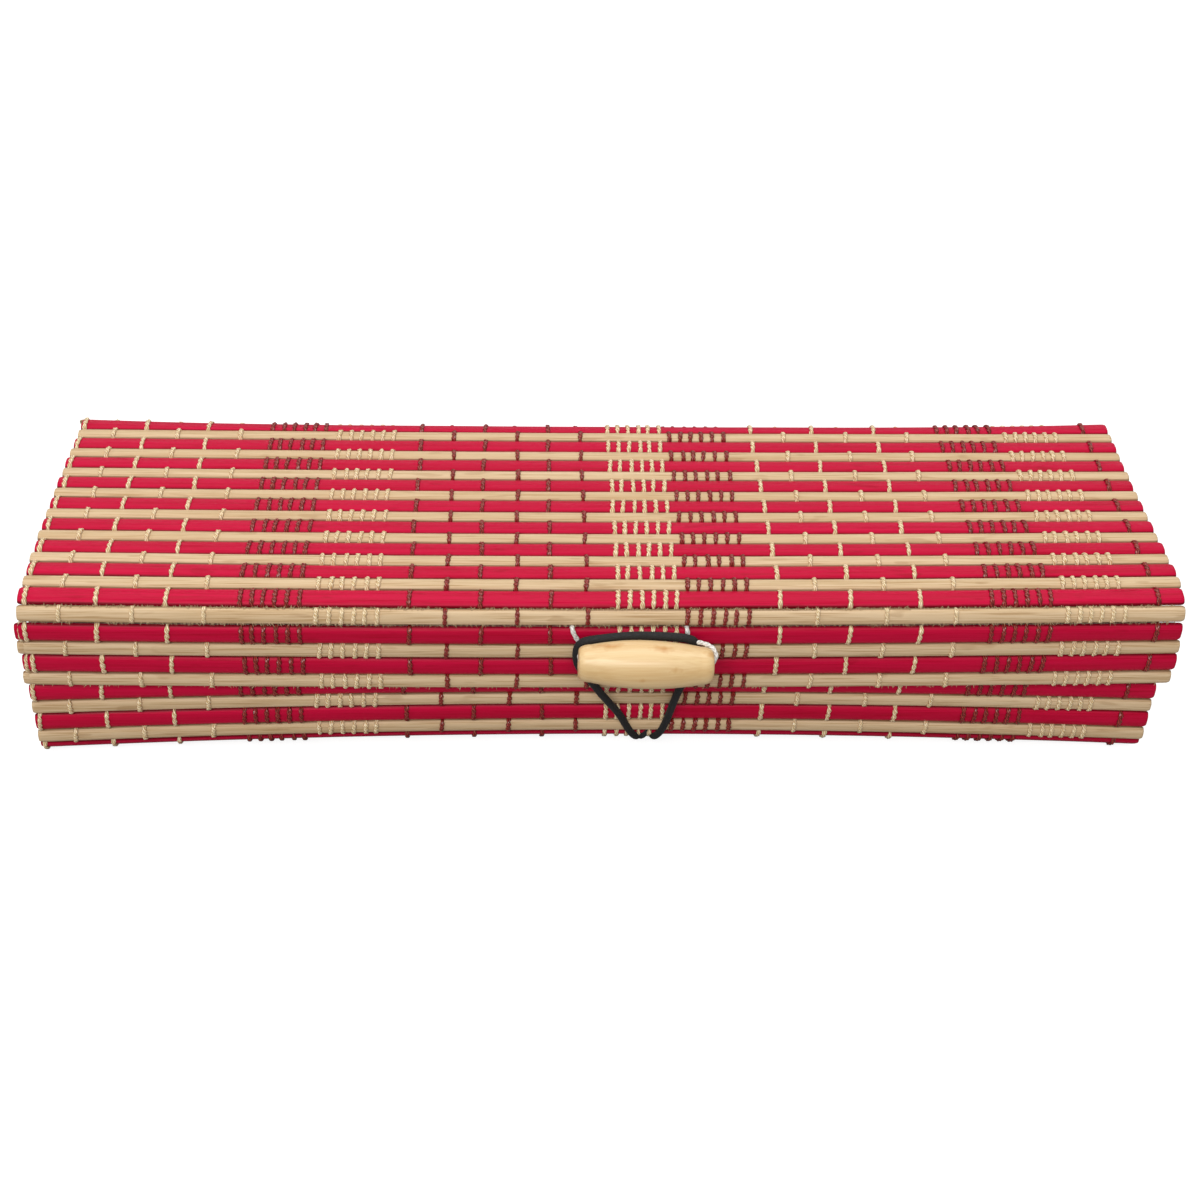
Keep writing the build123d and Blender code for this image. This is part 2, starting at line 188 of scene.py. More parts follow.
class Effects:
    """Shader node groups that more than one finish uses, each built once."""

    _made: dict[str, bpy.types.NodeTree] = {}
    fibre_stretch: Place = (0.014, 1.0, 1.0)
    fleck_stretch: Place = (0.22, 1.0, 1.0)
    fleck_sharpness: float = 14.0
    edge_sharpness: float = 8.0

    @classmethod
    def grain(cls) -> bpy.types.NodeTree:
        """Long fibres along X: broad streaks, fine lines and a bump height.

        Returns:
            The node group.
        """
        if "grain" not in cls._made:
            sockets = {"Vector": "vector", "Shift": 0.0, "Broad": 600.0, "Fine": 3800.0}
            results = {"Streak": "float", "Line": "float", "Vein": "float", "Height": "float"}
            graph, given, put = shader_group("Bamboo grain", sockets, results)
            offset = graph.add("ShaderNodeCombineXYZ", None, X=given.outputs["Shift"])
            offset.inputs["Y"].default_value = 0.0
            moved = graph.add(
                "ShaderNodeVectorMath", {"operation": "ADD"}, _0=given.outputs["Vector"], _1=offset.outputs[0]
            )
            stretch = graph.add("ShaderNodeVectorMath", {"operation": "MULTIPLY"}, _0=moved.outputs[0])
            stretch.inputs[1].default_value = cls.fibre_stretch
            raw = []
            for socket, detail in (("Broad", 3.0), ("Fine", 2.0)):
                texture = graph.add("ShaderNodeTexNoise", None, Vector=stretch.outputs[0], Detail=detail)
                graph.feed(texture.inputs["Scale"], given.outputs[socket])
                raw.append(texture.outputs[0])
            streak, line = (graph.spread(value, 0.32, 0.68) for value in raw)
            graph.feed(put.inputs["Streak"], streak)
            graph.feed(put.inputs["Line"], line)
            graph.feed(put.inputs["Vein"], graph.spread(raw[1], 0.44, 0.36))
            fine = graph.math("MULTIPLY", line, 0.4)
            graph.feed(put.inputs["Height"], graph.math("ADD", graph.math("MULTIPLY", streak, 0.6), fine))
            cls._made["grain"] = graph.tree
        return cls._made["grain"]

    @classmethod
    def flecks(cls) -> bpy.types.NodeTree:
        """Small scattered marks, drawn out along X.

        Returns:
            The node group.
        """
        if "flecks" not in cls._made:
            graph, given, put = shader_group(
                "Flecks", {"Vector": "vector", "Scale": 300.0, "Rarity": 0.62}, {"Mask": "float"}
            )
            stretch = graph.add("ShaderNodeVectorMath", {"operation": "MULTIPLY"}, _0=given.outputs["Vector"])
            stretch.inputs[1].default_value = cls.fleck_stretch
            texture = graph.add("ShaderNodeTexNoise", None, Vector=stretch.outputs[0], Detail=1.0)
            graph.feed(texture.inputs["Scale"], given.outputs["Scale"])
            above = graph.math("SUBTRACT", texture.outputs[0], given.outputs["Rarity"])
            graph.feed(put.inputs["Mask"], graph.math("MULTIPLY", above, cls.fleck_sharpness, clamp=True))
            cls._made["flecks"] = graph.tree
        return cls._made["flecks"]

    @classmethod
    def edges(cls) -> bpy.types.NodeTree:
        """Painted shade along the two edges of a slat, where the gaps between slats fall dark, from a map
        whose U runs across its face.

        Returns:
            The node group.
        """
        if "edges" not in cls._made:
            graph, given, put = shader_group(
                "Painted gap shade", {"Map": "vector", "Ragged": 0.5, "From": 0.74}, {"Mask": "float"}
            )
            split = graph.add("ShaderNodeSeparateXYZ", None, Vector=given.outputs["Map"])
            middle = graph.math("SUBTRACT", graph.math("MULTIPLY", split.outputs["X"], 2.0), 1.0)
            aside = graph.math("ADD", graph.math("ABSOLUTE", middle), given.outputs["Ragged"])
            above = graph.math("SUBTRACT", aside, given.outputs["From"])
            graph.feed(put.inputs["Mask"], graph.math("MULTIPLY", above, cls.edge_sharpness, clamp=True))
            cls._made["edges"] = graph.tree
        return cls._made["edges"]

    @classmethod
    def twist(cls) -> bpy.types.NodeTree:
        """Slanted stripes of twisted fibres over a tube's own map: U goes round, V along; high on the crests
        and low in the grooves, for painted highlight and shade.

        Returns:
            The node group.
        """
        if "twist" not in cls._made:
            graph, given, put = shader_group(
                "Twisted fibres",
                {"Map": "vector", "Around": 2.0, "Along": 4.0},
                {"Painted ply light": "float", "Height": "float"},
            )
            split = graph.add("ShaderNodeSeparateXYZ", None, Vector=given.outputs["Map"])
            around = graph.math("MULTIPLY", split.outputs["X"], given.outputs["Around"])
            along = graph.math("MULTIPLY", split.outputs["Y"], given.outputs["Along"])
            turn = graph.math("MULTIPLY", graph.math("ADD", around, along), math.tau)
            wave = graph.math("SINE", turn)
            ply_light = graph.spread(wave, -1.0, 1.0)
            graph.feed(put.inputs["Painted ply light"], ply_light)
            graph.feed(put.inputs["Height"], graph.math("POWER", ply_light, 0.5))
            cls._made["twist"] = graph.tree
        return cls._made["twist"]

    @classmethod
    def weave(cls) -> bpy.types.NodeTree:
        """Plain weave over a cloth's own map, in threads: raised crossings and their height.

        Returns:
            The node group.
        """
        if "weave" not in cls._made:
            graph, given, put = shader_group(
                "Plain weave", {"Map": "vector"}, {"Over": "float", "Height": "float"}
            )
            split = graph.add("ShaderNodeSeparateXYZ", None, Vector=given.outputs["Map"])
            turns = [graph.math("MULTIPLY", split.outputs[axis], math.pi) for axis in "XY"]
            waves = [graph.math("SINE", turn) for turn in turns]
            over = graph.spread(graph.math("MULTIPLY", waves[0], waves[1]), -0.6, 0.6)
            bulge = [graph.math("ABSOLUTE", wave) for wave in waves]
            height = graph.math("MULTIPLY", graph.math("ADD", bulge[0], bulge[1]), 0.5)
            graph.feed(put.inputs["Over"], over)
            graph.feed(put.inputs["Height"], height)
            cls._made["weave"] = graph.tree
        return cls._made["weave"]


def start_material(name: str, **constants: Value) -> tuple[bpy.types.Material, Graph, bpy.types.Node]:
    """Start a material with a Principled shader.

    Args:
        name: The material's name.
        constants: Values set on the shader's own sockets, with spaces as underscores.

    Returns:
        The material, its graph and its shader.
    """
    material = bpy.data.materials.new(name)
    material.use_nodes = True
    material.node_tree.nodes.clear()
    graph = Graph(material.node_tree)
    shader = graph.add("ShaderNodeBsdfPrincipled", None, **constants)
    graph.add("ShaderNodeOutputMaterial", None, Surface=shader.outputs[0])
    return material, graph, shader


def add_bump(graph: Graph, shader: bpy.types.Node, height: Socket, strength: float, distance: float) -> None:
    """Feed a height to the shader's normal through a Bump node."""
    bump = graph.add("ShaderNodeBump", None, Height=height, Strength=strength, Distance=distance)
    graph.feed(shader.inputs["Normal"], bump.outputs[0])


def place_group(graph: Graph, tree: bpy.types.NodeTree, **inputs: Value) -> bpy.types.Node:
    """Place a shader node group with its own values."""
    return graph.add("ShaderNodeGroup", {"node_tree": tree}, **inputs)


def rgba(color: RGB) -> tuple[float, float, float, float]:
    """A colour with full alpha."""
    return (*color, 1.0)


@dataclass(frozen=True)
class BambooFinish:
    """Split bamboo, bare or dyed, with fibres along the slat and painted shade along its two edges."""

    name: str
    deep: RGB
    light: RGB
    bleached: RGB
    fleck: RGB
    # Colour of the painted shade along the slat edges, where the gaps between slats fall dark.
    painted_gap_shade: RGB
    streak_share: float
    line_share: float
    vein_share: float
    fleck_share: float
    # How far the slat edges go towards that painted shade.
    gap_shade_share: float
    roughness: tuple[float, float]
    specular: float
    coat: float
    coat_roughness: float = 0.25
    broad_scale: float = 900.0
    fine_scale: float = 5200.0
    fleck_scale: float = 620.0
    fleck_rarity: float = 0.66
    tone_shift: float = 7.0
    tone_depth: float = 0.30
    edge_ragged: float = 0.10
    edge_from: float = 0.93
    relief: float = 0.35
    relief_depth: float = 0.12 * MM

    def build(self) -> bpy.types.Material:
        """Make the material. The mesh carries each slat's own tone as an attribute.

        Returns:
            The material.
        """
        material, graph, shader = start_material(
            self.name,
            Coat_Weight=self.coat,
            Coat_Roughness=self.coat_roughness,
            Specular_IOR_Level=self.specular,
        )
        place = graph.add("ShaderNodeTexCoord").outputs["Object"]
        tone = graph.add("ShaderNodeAttribute", {"attribute_name": "tone"}).outputs["Fac"]
        shift = graph.math("MULTIPLY", tone, self.tone_shift)
        grain = place_group(
            graph, Effects.grain(), Vector=place, Shift=shift, Broad=self.broad_scale, Fine=self.fine_scale
        )
        marks = place_group(
            graph, Effects.flecks(), Vector=place, Scale=self.fleck_scale, Rarity=self.fleck_rarity
        )
        streak = graph.math("MULTIPLY", grain.outputs["Streak"], self.streak_share)
        base = graph.blend(streak, rgba(self.deep), rgba(self.light))
        line = graph.math("MULTIPLY", grain.outputs["Line"], self.line_share)
        base = graph.blend(line, base, rgba(self.bleached))
        vein = graph.math("MULTIPLY", grain.outputs["Vein"], self.vein_share)
        base = graph.blend(vein, base, rgba(self.fleck))
        toned = graph.blend(graph.spread(tone, 0.0, 1.0, 0.0, self.tone_depth), base, rgba(self.deep))
        fleck = graph.math("MULTIPLY", marks.outputs["Mask"], self.fleck_share)
        flecked = graph.blend(fleck, toned, rgba(self.fleck))
        # Painted shade: both edges of the slat are darkened towards the gap shade colour, in place of the
        # shadow in the gaps between slats.
        chart = graph.add("ShaderNodeUVMap").outputs[0]
        ragged = graph.math("MULTIPLY", grain.outputs["Streak"], self.edge_ragged)
        edge = place_group(graph, Effects.edges(), Map=chart, Ragged=ragged, From=self.edge_from)
        shade = graph.math("MULTIPLY", edge.outputs["Mask"], self.gap_shade_share)
        graph.feed(shader.inputs["Base Color"], graph.blend(shade, flecked, rgba(self.painted_gap_shade)))
        low, high = self.roughness
        graph.feed(shader.inputs["Roughness"], graph.spread(grain.outputs["Line"], 0.0, 1.0, low, high))
        add_bump(graph, shader, grain.outputs["Height"], self.relief, self.relief_depth)
        return material


@dataclass(frozen=True)
class YarnFinish:
    """Silky twisted thread, with painted shade in the grooves of its twist and a painted highlight on the
    crests.
    """

    name: str
    dark: RGB
    light: RGB
    roughness: float
    sheen: float
    around: float
    along: float
    relief: float
    relief_depth: float = 0.15 * MM
    specular: float = 0.5
    sheen_roughness: float = 0.4
    mottle_scale: float = 2600.0
    rough_spread: tuple[float, float] = (-0.08, 0.1)

    def build(self) -> bpy.types.Material:
        """Make the material over the tube's own map.

        Returns:
            The material.
        """
        material, graph, shader = start_material(
            self.name,
            Sheen_Weight=self.sheen,
            Sheen_Roughness=self.sheen_roughness,
            Specular_IOR_Level=self.specular,
        )
        chart = graph.add("ShaderNodeUVMap").outputs[0]
        ply = place_group(graph, Effects.twist(), Map=chart, Around=self.around, Along=self.along)
        place = graph.add("ShaderNodeTexCoord").outputs["Object"]
        mottle = graph.noise(place, self.mottle_scale)
        # Painted shade and highlight: the colour runs from the dark colour in the grooves of the twist to the
        # light colour on its crests.
        share = graph.math("MULTIPLY", ply.outputs["Painted ply light"], graph.spread(mottle, 0.25, 0.7, 0.55, 1.0))
        graph.feed(shader.inputs["Base Color"], graph.blend(share, rgba(self.dark), rgba(self.light)))
        smooth, rough = (self.roughness + step for step in self.rough_spread)
        graph.feed(shader.inputs["Roughness"], graph.spread(mottle, 0.3, 0.7, smooth, rough))
        add_bump(graph, shader, ply.outputs["Height"], self.relief, self.relief_depth)
        return material


@dataclass(frozen=True)
class BoxwoodFinish:
    """Pale turned wood with stains where knots were cut through."""

    name: str
    pale: RGB
    warm: RGB
    stain: RGB
    stains: tuple[tuple[Place, float], ...]
    coat: float = 0.25
    coat_roughness: float = 0.22
    specular: float = 0.4
    grain_shift: float = 3.0
    broad_scale: float = 330.0
    fine_scale: float = 2400.0
    streak_share: float = 0.75
    line_share: float = 0.22
    stain_share: float = 0.72
    stain_long: Place = (0.45, 1.0, 1.0)
    stain_fade: float = 1.1 * MM
    stain_ragged: float = 1.6 * MM
    ragged_scale: float = 900.0
    roughness: tuple[float, float] = (0.34, 0.46)
    relief: float = 0.16
    relief_depth: float = 0.1 * MM

    def build(self) -> bpy.types.Material:
        """Make the material, with each stain round a point of the row frame.

        Returns:
            The material.
        """
        material, graph, shader = start_material(
            self.name,
            Coat_Weight=self.coat,
            Coat_Roughness=self.coat_roughness,
            Specular_IOR_Level=self.specular,
        )
        place = graph.add("ShaderNodeTexCoord").outputs["Object"]
        grain = place_group(
            graph,
            Effects.grain(),
            Vector=place,
            Shift=self.grain_shift,
            Broad=self.broad_scale,
            Fine=self.fine_scale,
        )
        streak = graph.math("MULTIPLY", grain.outputs["Streak"], self.streak_share)
        wood = graph.blend(streak, rgba(self.pale), rgba(self.warm))
        rough_edge = graph.math("MULTIPLY", graph.noise(place, self.ragged_scale, 3.0), self.stain_ragged)
        for point, radius in self.stains:
            gap = graph.add("ShaderNodeVectorMath", {"operation": "SUBTRACT"}, _0=place)
            gap.inputs[1].default_value = point
            flat = graph.add("ShaderNodeVectorMath", {"operation": "MULTIPLY"}, _0=gap.outputs[0])
            flat.inputs[1].default_value = self.stain_long
            reach = graph.add("ShaderNodeVectorMath", {"operation": "LENGTH"}, _0=flat.outputs[0])
            ragged = graph.math("ADD", reach.outputs["Value"], rough_edge)
            mask = graph.spread(ragged, radius, radius + self.stain_fade, self.stain_share, 0.0)
            wood = graph.blend(mask, wood, rgba(self.stain))
        fibre = graph.math("MULTIPLY", grain.outputs["Line"], self.line_share)
        graph.feed(shader.inputs["Base Color"], graph.blend(fibre, wood, rgba(self.stain)))
        low, high = self.roughness
        graph.feed(shader.inputs["Roughness"], graph.spread(grain.outputs["Line"], 0.0, 1.0, low, high))
        add_bump(graph, shader, grain.outputs["Height"], self.relief, self.relief_depth)
        return material


@dataclass(frozen=True)
class PlyFinish:
    """Thin sanded wood board with short dark pores."""

    name: str
    pale: RGB
    warm: RGB
    pore: RGB
    specular: float = 0.35
    grain_shift: float = 1.0
    broad_scale: float = 260.0
    fine_scale: float = 2100.0
    pore_scale: float = 500.0
    pore_rarity: float = 0.64
    pore_share: float = 0.5
    roughness: tuple[float, float] = (0.55, 0.72)
    relief: float = 0.3
    relief_depth: float = 0.15 * MM

    def build(self) -> bpy.types.Material:
        """Make the material, with the grain along the board's depth.

        Returns:
            The material.
        """
        material, graph, shader = start_material(self.name, Specular_IOR_Level=self.specular)
        place = graph.add("ShaderNodeTexCoord").outputs["Object"]
        turned = graph.add("ShaderNodeVectorRotate", {"rotation_type": "Z_AXIS"}, Vector=place)
        turned.inputs["Angle"].default_value = math.pi / 2
        grain = place_group(
            graph,
            Effects.grain(),
            Vector=turned.outputs[0],
            Shift=self.grain_shift,
            Broad=self.broad_scale,
            Fine=self.fine_scale,
        )
        wood = graph.blend(grain.outputs["Streak"], rgba(self.pale), rgba(self.warm))
        marks = place_group(
            graph, Effects.flecks(), Vector=turned.outputs[0], Scale=self.pore_scale, Rarity=self.pore_rarity
        )
        share = graph.math("MULTIPLY", marks.outputs["Mask"], self.pore_share)
        graph.feed(shader.inputs["Base Color"], graph.blend(share, wood, rgba(self.pore)))
        low, high = self.roughness
        graph.feed(shader.inputs["Roughness"], graph.spread(grain.outputs["Line"], 0.0, 1.0, low, high))
        add_bump(graph, shader, grain.outputs["Height"], self.relief, self.relief_depth)
        return material


@dataclass(frozen=True)
class CottonFinish:
    """Plain cotton cloth over its own map, which counts threads, with painted shade in the hollows between
    threads.
    """

    name: str
    thread: RGB
    hollow_shade: RGB
    roughness: float = 0.88
    sheen: float = 0.35
    sheen_roughness: float = 0.6
    specular: float = 0.2
    slub_scale: float = 420.0
    slub_depth: float = 0.75
    relief: float = 0.6
    relief_depth: float = 0.1 * MM

    def build(self) -> bpy.types.Material:
        """Make the material.

        Returns:
            The material.
        """
        material, graph, shader = start_material(
            self.name,
            Roughness=self.roughness,
            Sheen_Weight=self.sheen,
            Sheen_Roughness=self.sheen_roughness,
            Specular_IOR_Level=self.specular,
        )
        chart = graph.add("ShaderNodeUVMap").outputs[0]
        cloth = place_group(graph, Effects.weave(), Map=chart)
        place = graph.add("ShaderNodeTexCoord").outputs["Object"]
        slub = graph.spread(graph.noise(place, self.slub_scale, 3.0), 0.3, 0.7, self.slub_depth, 1.0)
        # Painted shade: the cloth goes towards the hollow colour where the weave lies low between threads.
        share = graph.math("MULTIPLY", cloth.outputs["Height"], slub)
        graph.feed(shader.inputs["Base Color"], graph.blend(share, rgba(self.hollow_shade), rgba(self.thread)))
        add_bump(graph, shader, cloth.outputs["Height"], self.relief, self.relief_depth)
        return material


# In each bamboo finish the darkest colour is the painted shade along the slat edges, with its share after it.
RED_BAMBOO = BambooFinish(
    "dyed_bamboo", deep=(0.42, 0.001, 0.022), light=(0.56, 0.002, 0.042), bleached=(0.64, 0.010, 0.072),
    fleck=(0.26, 0.001, 0.008), painted_gap_shade=(0.11, 0.001, 0.003), streak_share=0.9, line_share=0.35,
    vein_share=0.25, fleck_share=0.30, gap_shade_share=0.85, roughness=(0.30, 0.46), specular=0.10, coat=0.0,
)
NATURAL_BAMBOO = BambooFinish(
    "bare_bamboo", deep=(0.50, 0.325, 0.155), light=(0.66, 0.475, 0.285), bleached=(0.80, 0.64, 0.44),
    fleck=(0.30, 0.155, 0.055), painted_gap_shade=(0.16, 0.07, 0.025), streak_share=1.0, line_share=0.45,
    vein_share=0.45, fleck_share=0.30, gap_shade_share=0.80, roughness=(0.42, 0.60), specular=0.24, coat=0.02,
)
FIBRE = BambooFinish(
    "bamboo_fibre", deep=(0.42, 0.27, 0.14), light=(0.62, 0.45, 0.27), bleached=(0.80, 0.66, 0.45),
    fleck=(0.22, 0.12, 0.05), painted_gap_shade=(0.30, 0.17, 0.08), streak_share=0.9, line_share=0.30,
    vein_share=0.2, fleck_share=0.20, gap_shade_share=0.0, roughness=(0.60, 0.75), specular=0.2, coat=0.0,
)
# Each thread's dark colour is painted shade in the grooves of its twist and its light colour a painted
# highlight on the crests.
CREAM_THREAD = YarnFinish(
    "cream_thread", dark=(0.52, 0.31, 0.10), light=(1.0, 0.88, 0.64),
    roughness=0.30, sheen=0.10, around=2.0, along=5.0, relief=0.45,
)
MAROON_THREAD = YarnFinish(
    "maroon_thread", dark=(0.09, 0.003, 0.003), light=(0.42, 0.050, 0.032),
    roughness=0.28, sheen=0.0, around=2.0, along=5.0, relief=0.45,
)
WHITE_STRING = YarnFinish(
    "white_string", dark=(0.60, 0.57, 0.52), light=(0.90, 0.88, 0.84),
    roughness=0.62, sheen=0.4, around=2.0, along=60.0, relief=0.6,
)
BLACK_BRAID = YarnFinish(
    "black_braid", dark=(0.002, 0.002, 0.0025), light=(0.012, 0.011, 0.012),
    roughness=0.72, sheen=0.04, around=8.0, along=90.0, relief=0.35,
)
PANEL_WOOD = PlyFinish(
    "sanded_board", pale=(0.72, 0.56, 0.37), warm=(0.62, 0.45, 0.27), pore=(0.36, 0.22, 0.12)
)
LINING_COTTON = CottonFinish("plain_cotton", thread=(0.80, 0.74, 0.62), hollow_shade=(0.52, 0.46, 0.36))


@dataclass
class Shape:
    """Vertices and faces that several parts of one piece are gathered in."""

    points: list[Points] = field(default_factory=list)
    faces: Faces = field(default_factory=list)
    charts: list[Points] = field(default_factory=list)
    tones: list[float] = field(default_factory=list)
    count: int = 0

    def add(self, points: Points, faces: Faces, chart: Points, tone: float = 0.5) -> None:
        """Add one part.

        Args:
            points: Its vertices.
            faces: Its faces, by vertex number within the part.
            chart: One (U, V) pair for each vertex.
            tone: A shade from 0 to 1, kept on each vertex.
        """
        self.points.append(points)
        self.charts.append(chart)
        self.tones.extend([tone] * len(points))
        self.faces.extend(tuple(corner + self.count for corner in face) for face in faces)
        self.count += len(points)

    def make(self, name: str, material: bpy.types.Material) -> bpy.types.Object:
        """Make the object, shaded smooth.

        Args:
            name: The piece's name.
            material: Its finish.

        Returns:
            The new object, linked to the scene.
        """
        mesh = bpy.data.meshes.new(name)
        points = np.vstack(self.points)
        mesh.from_pydata(points.tolist(), [], self.faces)
        mesh.materials.append(material)
        tones = mesh.attributes.new("tone", "FLOAT", "POINT")
        tones.data.foreach_set("value", np.array(self.tones, np.float32))
        charts = np.vstack(self.charts).astype(np.float32)
        corners = np.empty(len(mesh.loops), np.int32)
        mesh.loops.foreach_get("vertex_index", corners)
        layer = mesh.uv_layers.new(name="UVMap")
        layer.data.foreach_set("uv", charts[corners].ravel())
        mesh.polygons.foreach_set("use_smooth", [True] * len(mesh.polygons))
        mesh.validate()
        mesh.update()
        piece = bpy.data.objects.new(name, mesh)
        bpy.context.scene.collection.objects.link(piece)
        log.info("%s: %d faces", name, len(mesh.polygons))
        return piece


def loft_faces(rings: int, sides: int, closed_ends: bool = True) -> Faces:
    """Quads between successive rings of vertices.

    Args:
        rings: How many rings there are.
        sides: How many vertices each ring has.
        closed_ends: Whether a face is put over each end.

    Returns:
        The faces.
    """
    faces: Faces = []
    for ring in range(rings - 1):
        for side in range(sides):
            after = (side + 1) % sides
            low, high = ring * sides, (ring + 1) * sides
            faces.append((low + side, low + after, high + after, high + side))
    if closed_ends:
        faces.append(tuple(reversed(range(sides))))
        faces.append(tuple((rings - 1) * sides + side for side in range(sides)))
    return faces


def route_points(control: list[Place], name: str) -> Points:
    """Points along the smooth line of a cord's route.

    Args:
        control: The route's points.
        name: Name for the curve, which is removed again.

    Returns:
        The points of the route's own spline.
    """
    curve = bpy.data.curves.new(name, "CURVE")
    curve.dimensions = "3D"
    curve.resolution_u = 24
    spline = curve.splines.new("NURBS")
    spline.points.add(len(control) - 1)
    for point, place in zip(spline.points, control):
        point.co = (*place, 1.0)
    spline.order_u = 3
    spline.use_endpoint_u = True
    carrier = bpy.data.objects.new(name, curve)
    bpy.context.scene.collection.objects.link(carrier)
    line = bpy.data.meshes.new_from_object(carrier)
    points = np.array([tuple(vertex.co) for vertex in line.vertices])
    bpy.data.objects.remove(carrier)
    bpy.data.curves.remove(curve)
    bpy.data.meshes.remove(line)
    return points


def even_steps(points: Points, step: float) -> Points:
    """The same line, with points about one step apart.

    Args:
        points: The line's points.
        step: The distance wanted between points.

    Returns:
        The new points.
    """
    run = np.r_[0, np.cumsum(np.linalg.norm(np.diff(points, axis=0), axis=1))]
    places = np.linspace(0, run[-1], max(4, round(run[-1] / step) + 1))
    return np.column_stack([np.interp(places, run, points[:, axis]) for axis in range(3)])


def carried_frames(path: Points) -> tuple[Points, Points]:
    """Two directions across a line at each of its points, carried along without a twist.

    Args:
        path: The line's points.

    Returns:
        The first directions and the second ones, square to them.
    """
    tangents = np.gradient(path, axis=0)
    tangents /= np.linalg.norm(tangents, axis=1)[:, None]
    first = np.cross(tangents[0], (0.0, 0.0, 1.0))
    if np.linalg.norm(first) < 0.2:
        first = np.cross(tangents[0], (0.0, 1.0, 0.0))
    normals = [first / np.linalg.norm(first)]
    for tangent in tangents[1:]:
        carried = normals[-1] - tangent * (normals[-1] @ tangent)
        normals.append(carried / np.linalg.norm(carried))
    normals = np.array(normals)
    return normals, np.cross(tangents, normals)


def cord_tube(path: Points, radius: Points) -> tuple[Points, Faces, Points]:
    """A closed tube round a line.

    Args:
        path: The line's points.
        radius: Radius at each point and side, one row for each point.

    Returns:
        Vertices, faces and map.
    """
    rings, sides = radius.shape
    across, up = carried_frames(path)
    turn = np.arange(sides) / sides * math.tau
    points = (
        path[:, None, :]
        + across[:, None, :] * (radius * np.cos(turn))[:, :, None]
        + up[:, None, :] * (radius * np.sin(turn))[:, :, None]
    )
    chart = np.empty((rings, sides, 2))
    chart[:, :, 0] = np.abs(np.arange(sides) / sides * 2 - 1)[None, :]
    chart[:, :, 1] = np.linspace(0, 1.0, rings)[:, None]
    return points.reshape(-1, 3), loft_faces(rings, sides), chart.reshape(-1, 2)


@dataclass(frozen=True)
class Slat:
    """One slat's place: its middle, its size and its two directions across."""

    dye: Dye
    panel: Panel
    x: float
    length: float
    width: float
    thick: float
    middle: tuple[float, float]
    across: tuple[float, float]
    outward: tuple[float, float]

    def at(self, x: Points, across: Points, outward: Points) -> Points:
        """Points of the row frame from distances off the slat's middle.

        Args:
            x: Distances along the slat.
            across: Distances across it.
            outward: Distances out of the box.

        Returns:
            The points.
        """
        y = self.middle[0] + self.across[0] * across + self.outward[0] * outward
        z = self.middle[1] + self.across[1] * across + self.outward[1] * outward
        return np.column_stack([np.broadcast_to(self.x + x, y.shape), y, z])


INSIDE = (5 * MM, 20 * MM)
ROW_BREAK = 1.5 * MM
END_REACH = 0.2 * MM


def dye_of(node: str) -> Dye:
    """The colour of a node's slats."""
    return Dye.RED if node.endswith("red") or node == "front_bottom_slat" else Dye.NATURAL


def read_slats(node: str, panel: Panel) -> list[Slat]:
    """Find each slat of a CAD node.

    Args:
        node: The node's name.
        panel: The stretch of the mat that it belongs to.

    Returns:
        Its slats, in order along the node's longer direction.
    """
    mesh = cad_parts[node].data
    points = np.array([tuple(vertex.co) for vertex in mesh.vertices])
    spans = np.ptp(points[:, 1:], axis=0)
    key = points[:, 1 + int(np.argmax(spans))]
    order = np.argsort(key)
    breaks = np.flatnonzero(np.diff(key[order]) > ROW_BREAK) + 1
    return [measure_slat(points[rows], dye_of(node), panel) for rows in np.split(order, breaks)]


def measure_slat(points: Points, dye: Dye, panel: Panel) -> Slat:
    """Work out a slat's place from its vertices.

    Args:
        points: The slat's vertices.
        dye: Its colour.
        panel: The stretch of the mat that it belongs to.

    Returns:
        The slat.
    """
    ends = points[np.abs(points[:, 0] - points[:, 0].min()) < END_REACH]
    flat = np.unique(np.round(ends[:, 1:], 6), axis=0)
    centre = flat.mean(axis=0)
    _, _, axes = np.linalg.svd(flat - centre)
    across, outward = axes[0], axes[1]
    if (centre - np.array(INSIDE)) @ outward < 0:
        outward = -outward
    if across[0] * outward[1] - across[1] * outward[0] < 0:
        across = -across
    section = points[:, 1:]
    middle = np.zeros(2)
    sizes = []
    for axis in (across, outward):
        low, high = (section @ axis).min(), (section @ axis).max()
        middle += axis * (low + high) / 2
        sizes.append(high - low)
    low, high = points[:, 0].min(), points[:, 0].max()
    return Slat(
        dye,
        panel,
        x=(low + high) / 2,
        length=high - low,
        width=sizes[0],
        thick=sizes[1],
        middle=tuple(middle),
        across=tuple(across),
        outward=tuple(outward),
    )


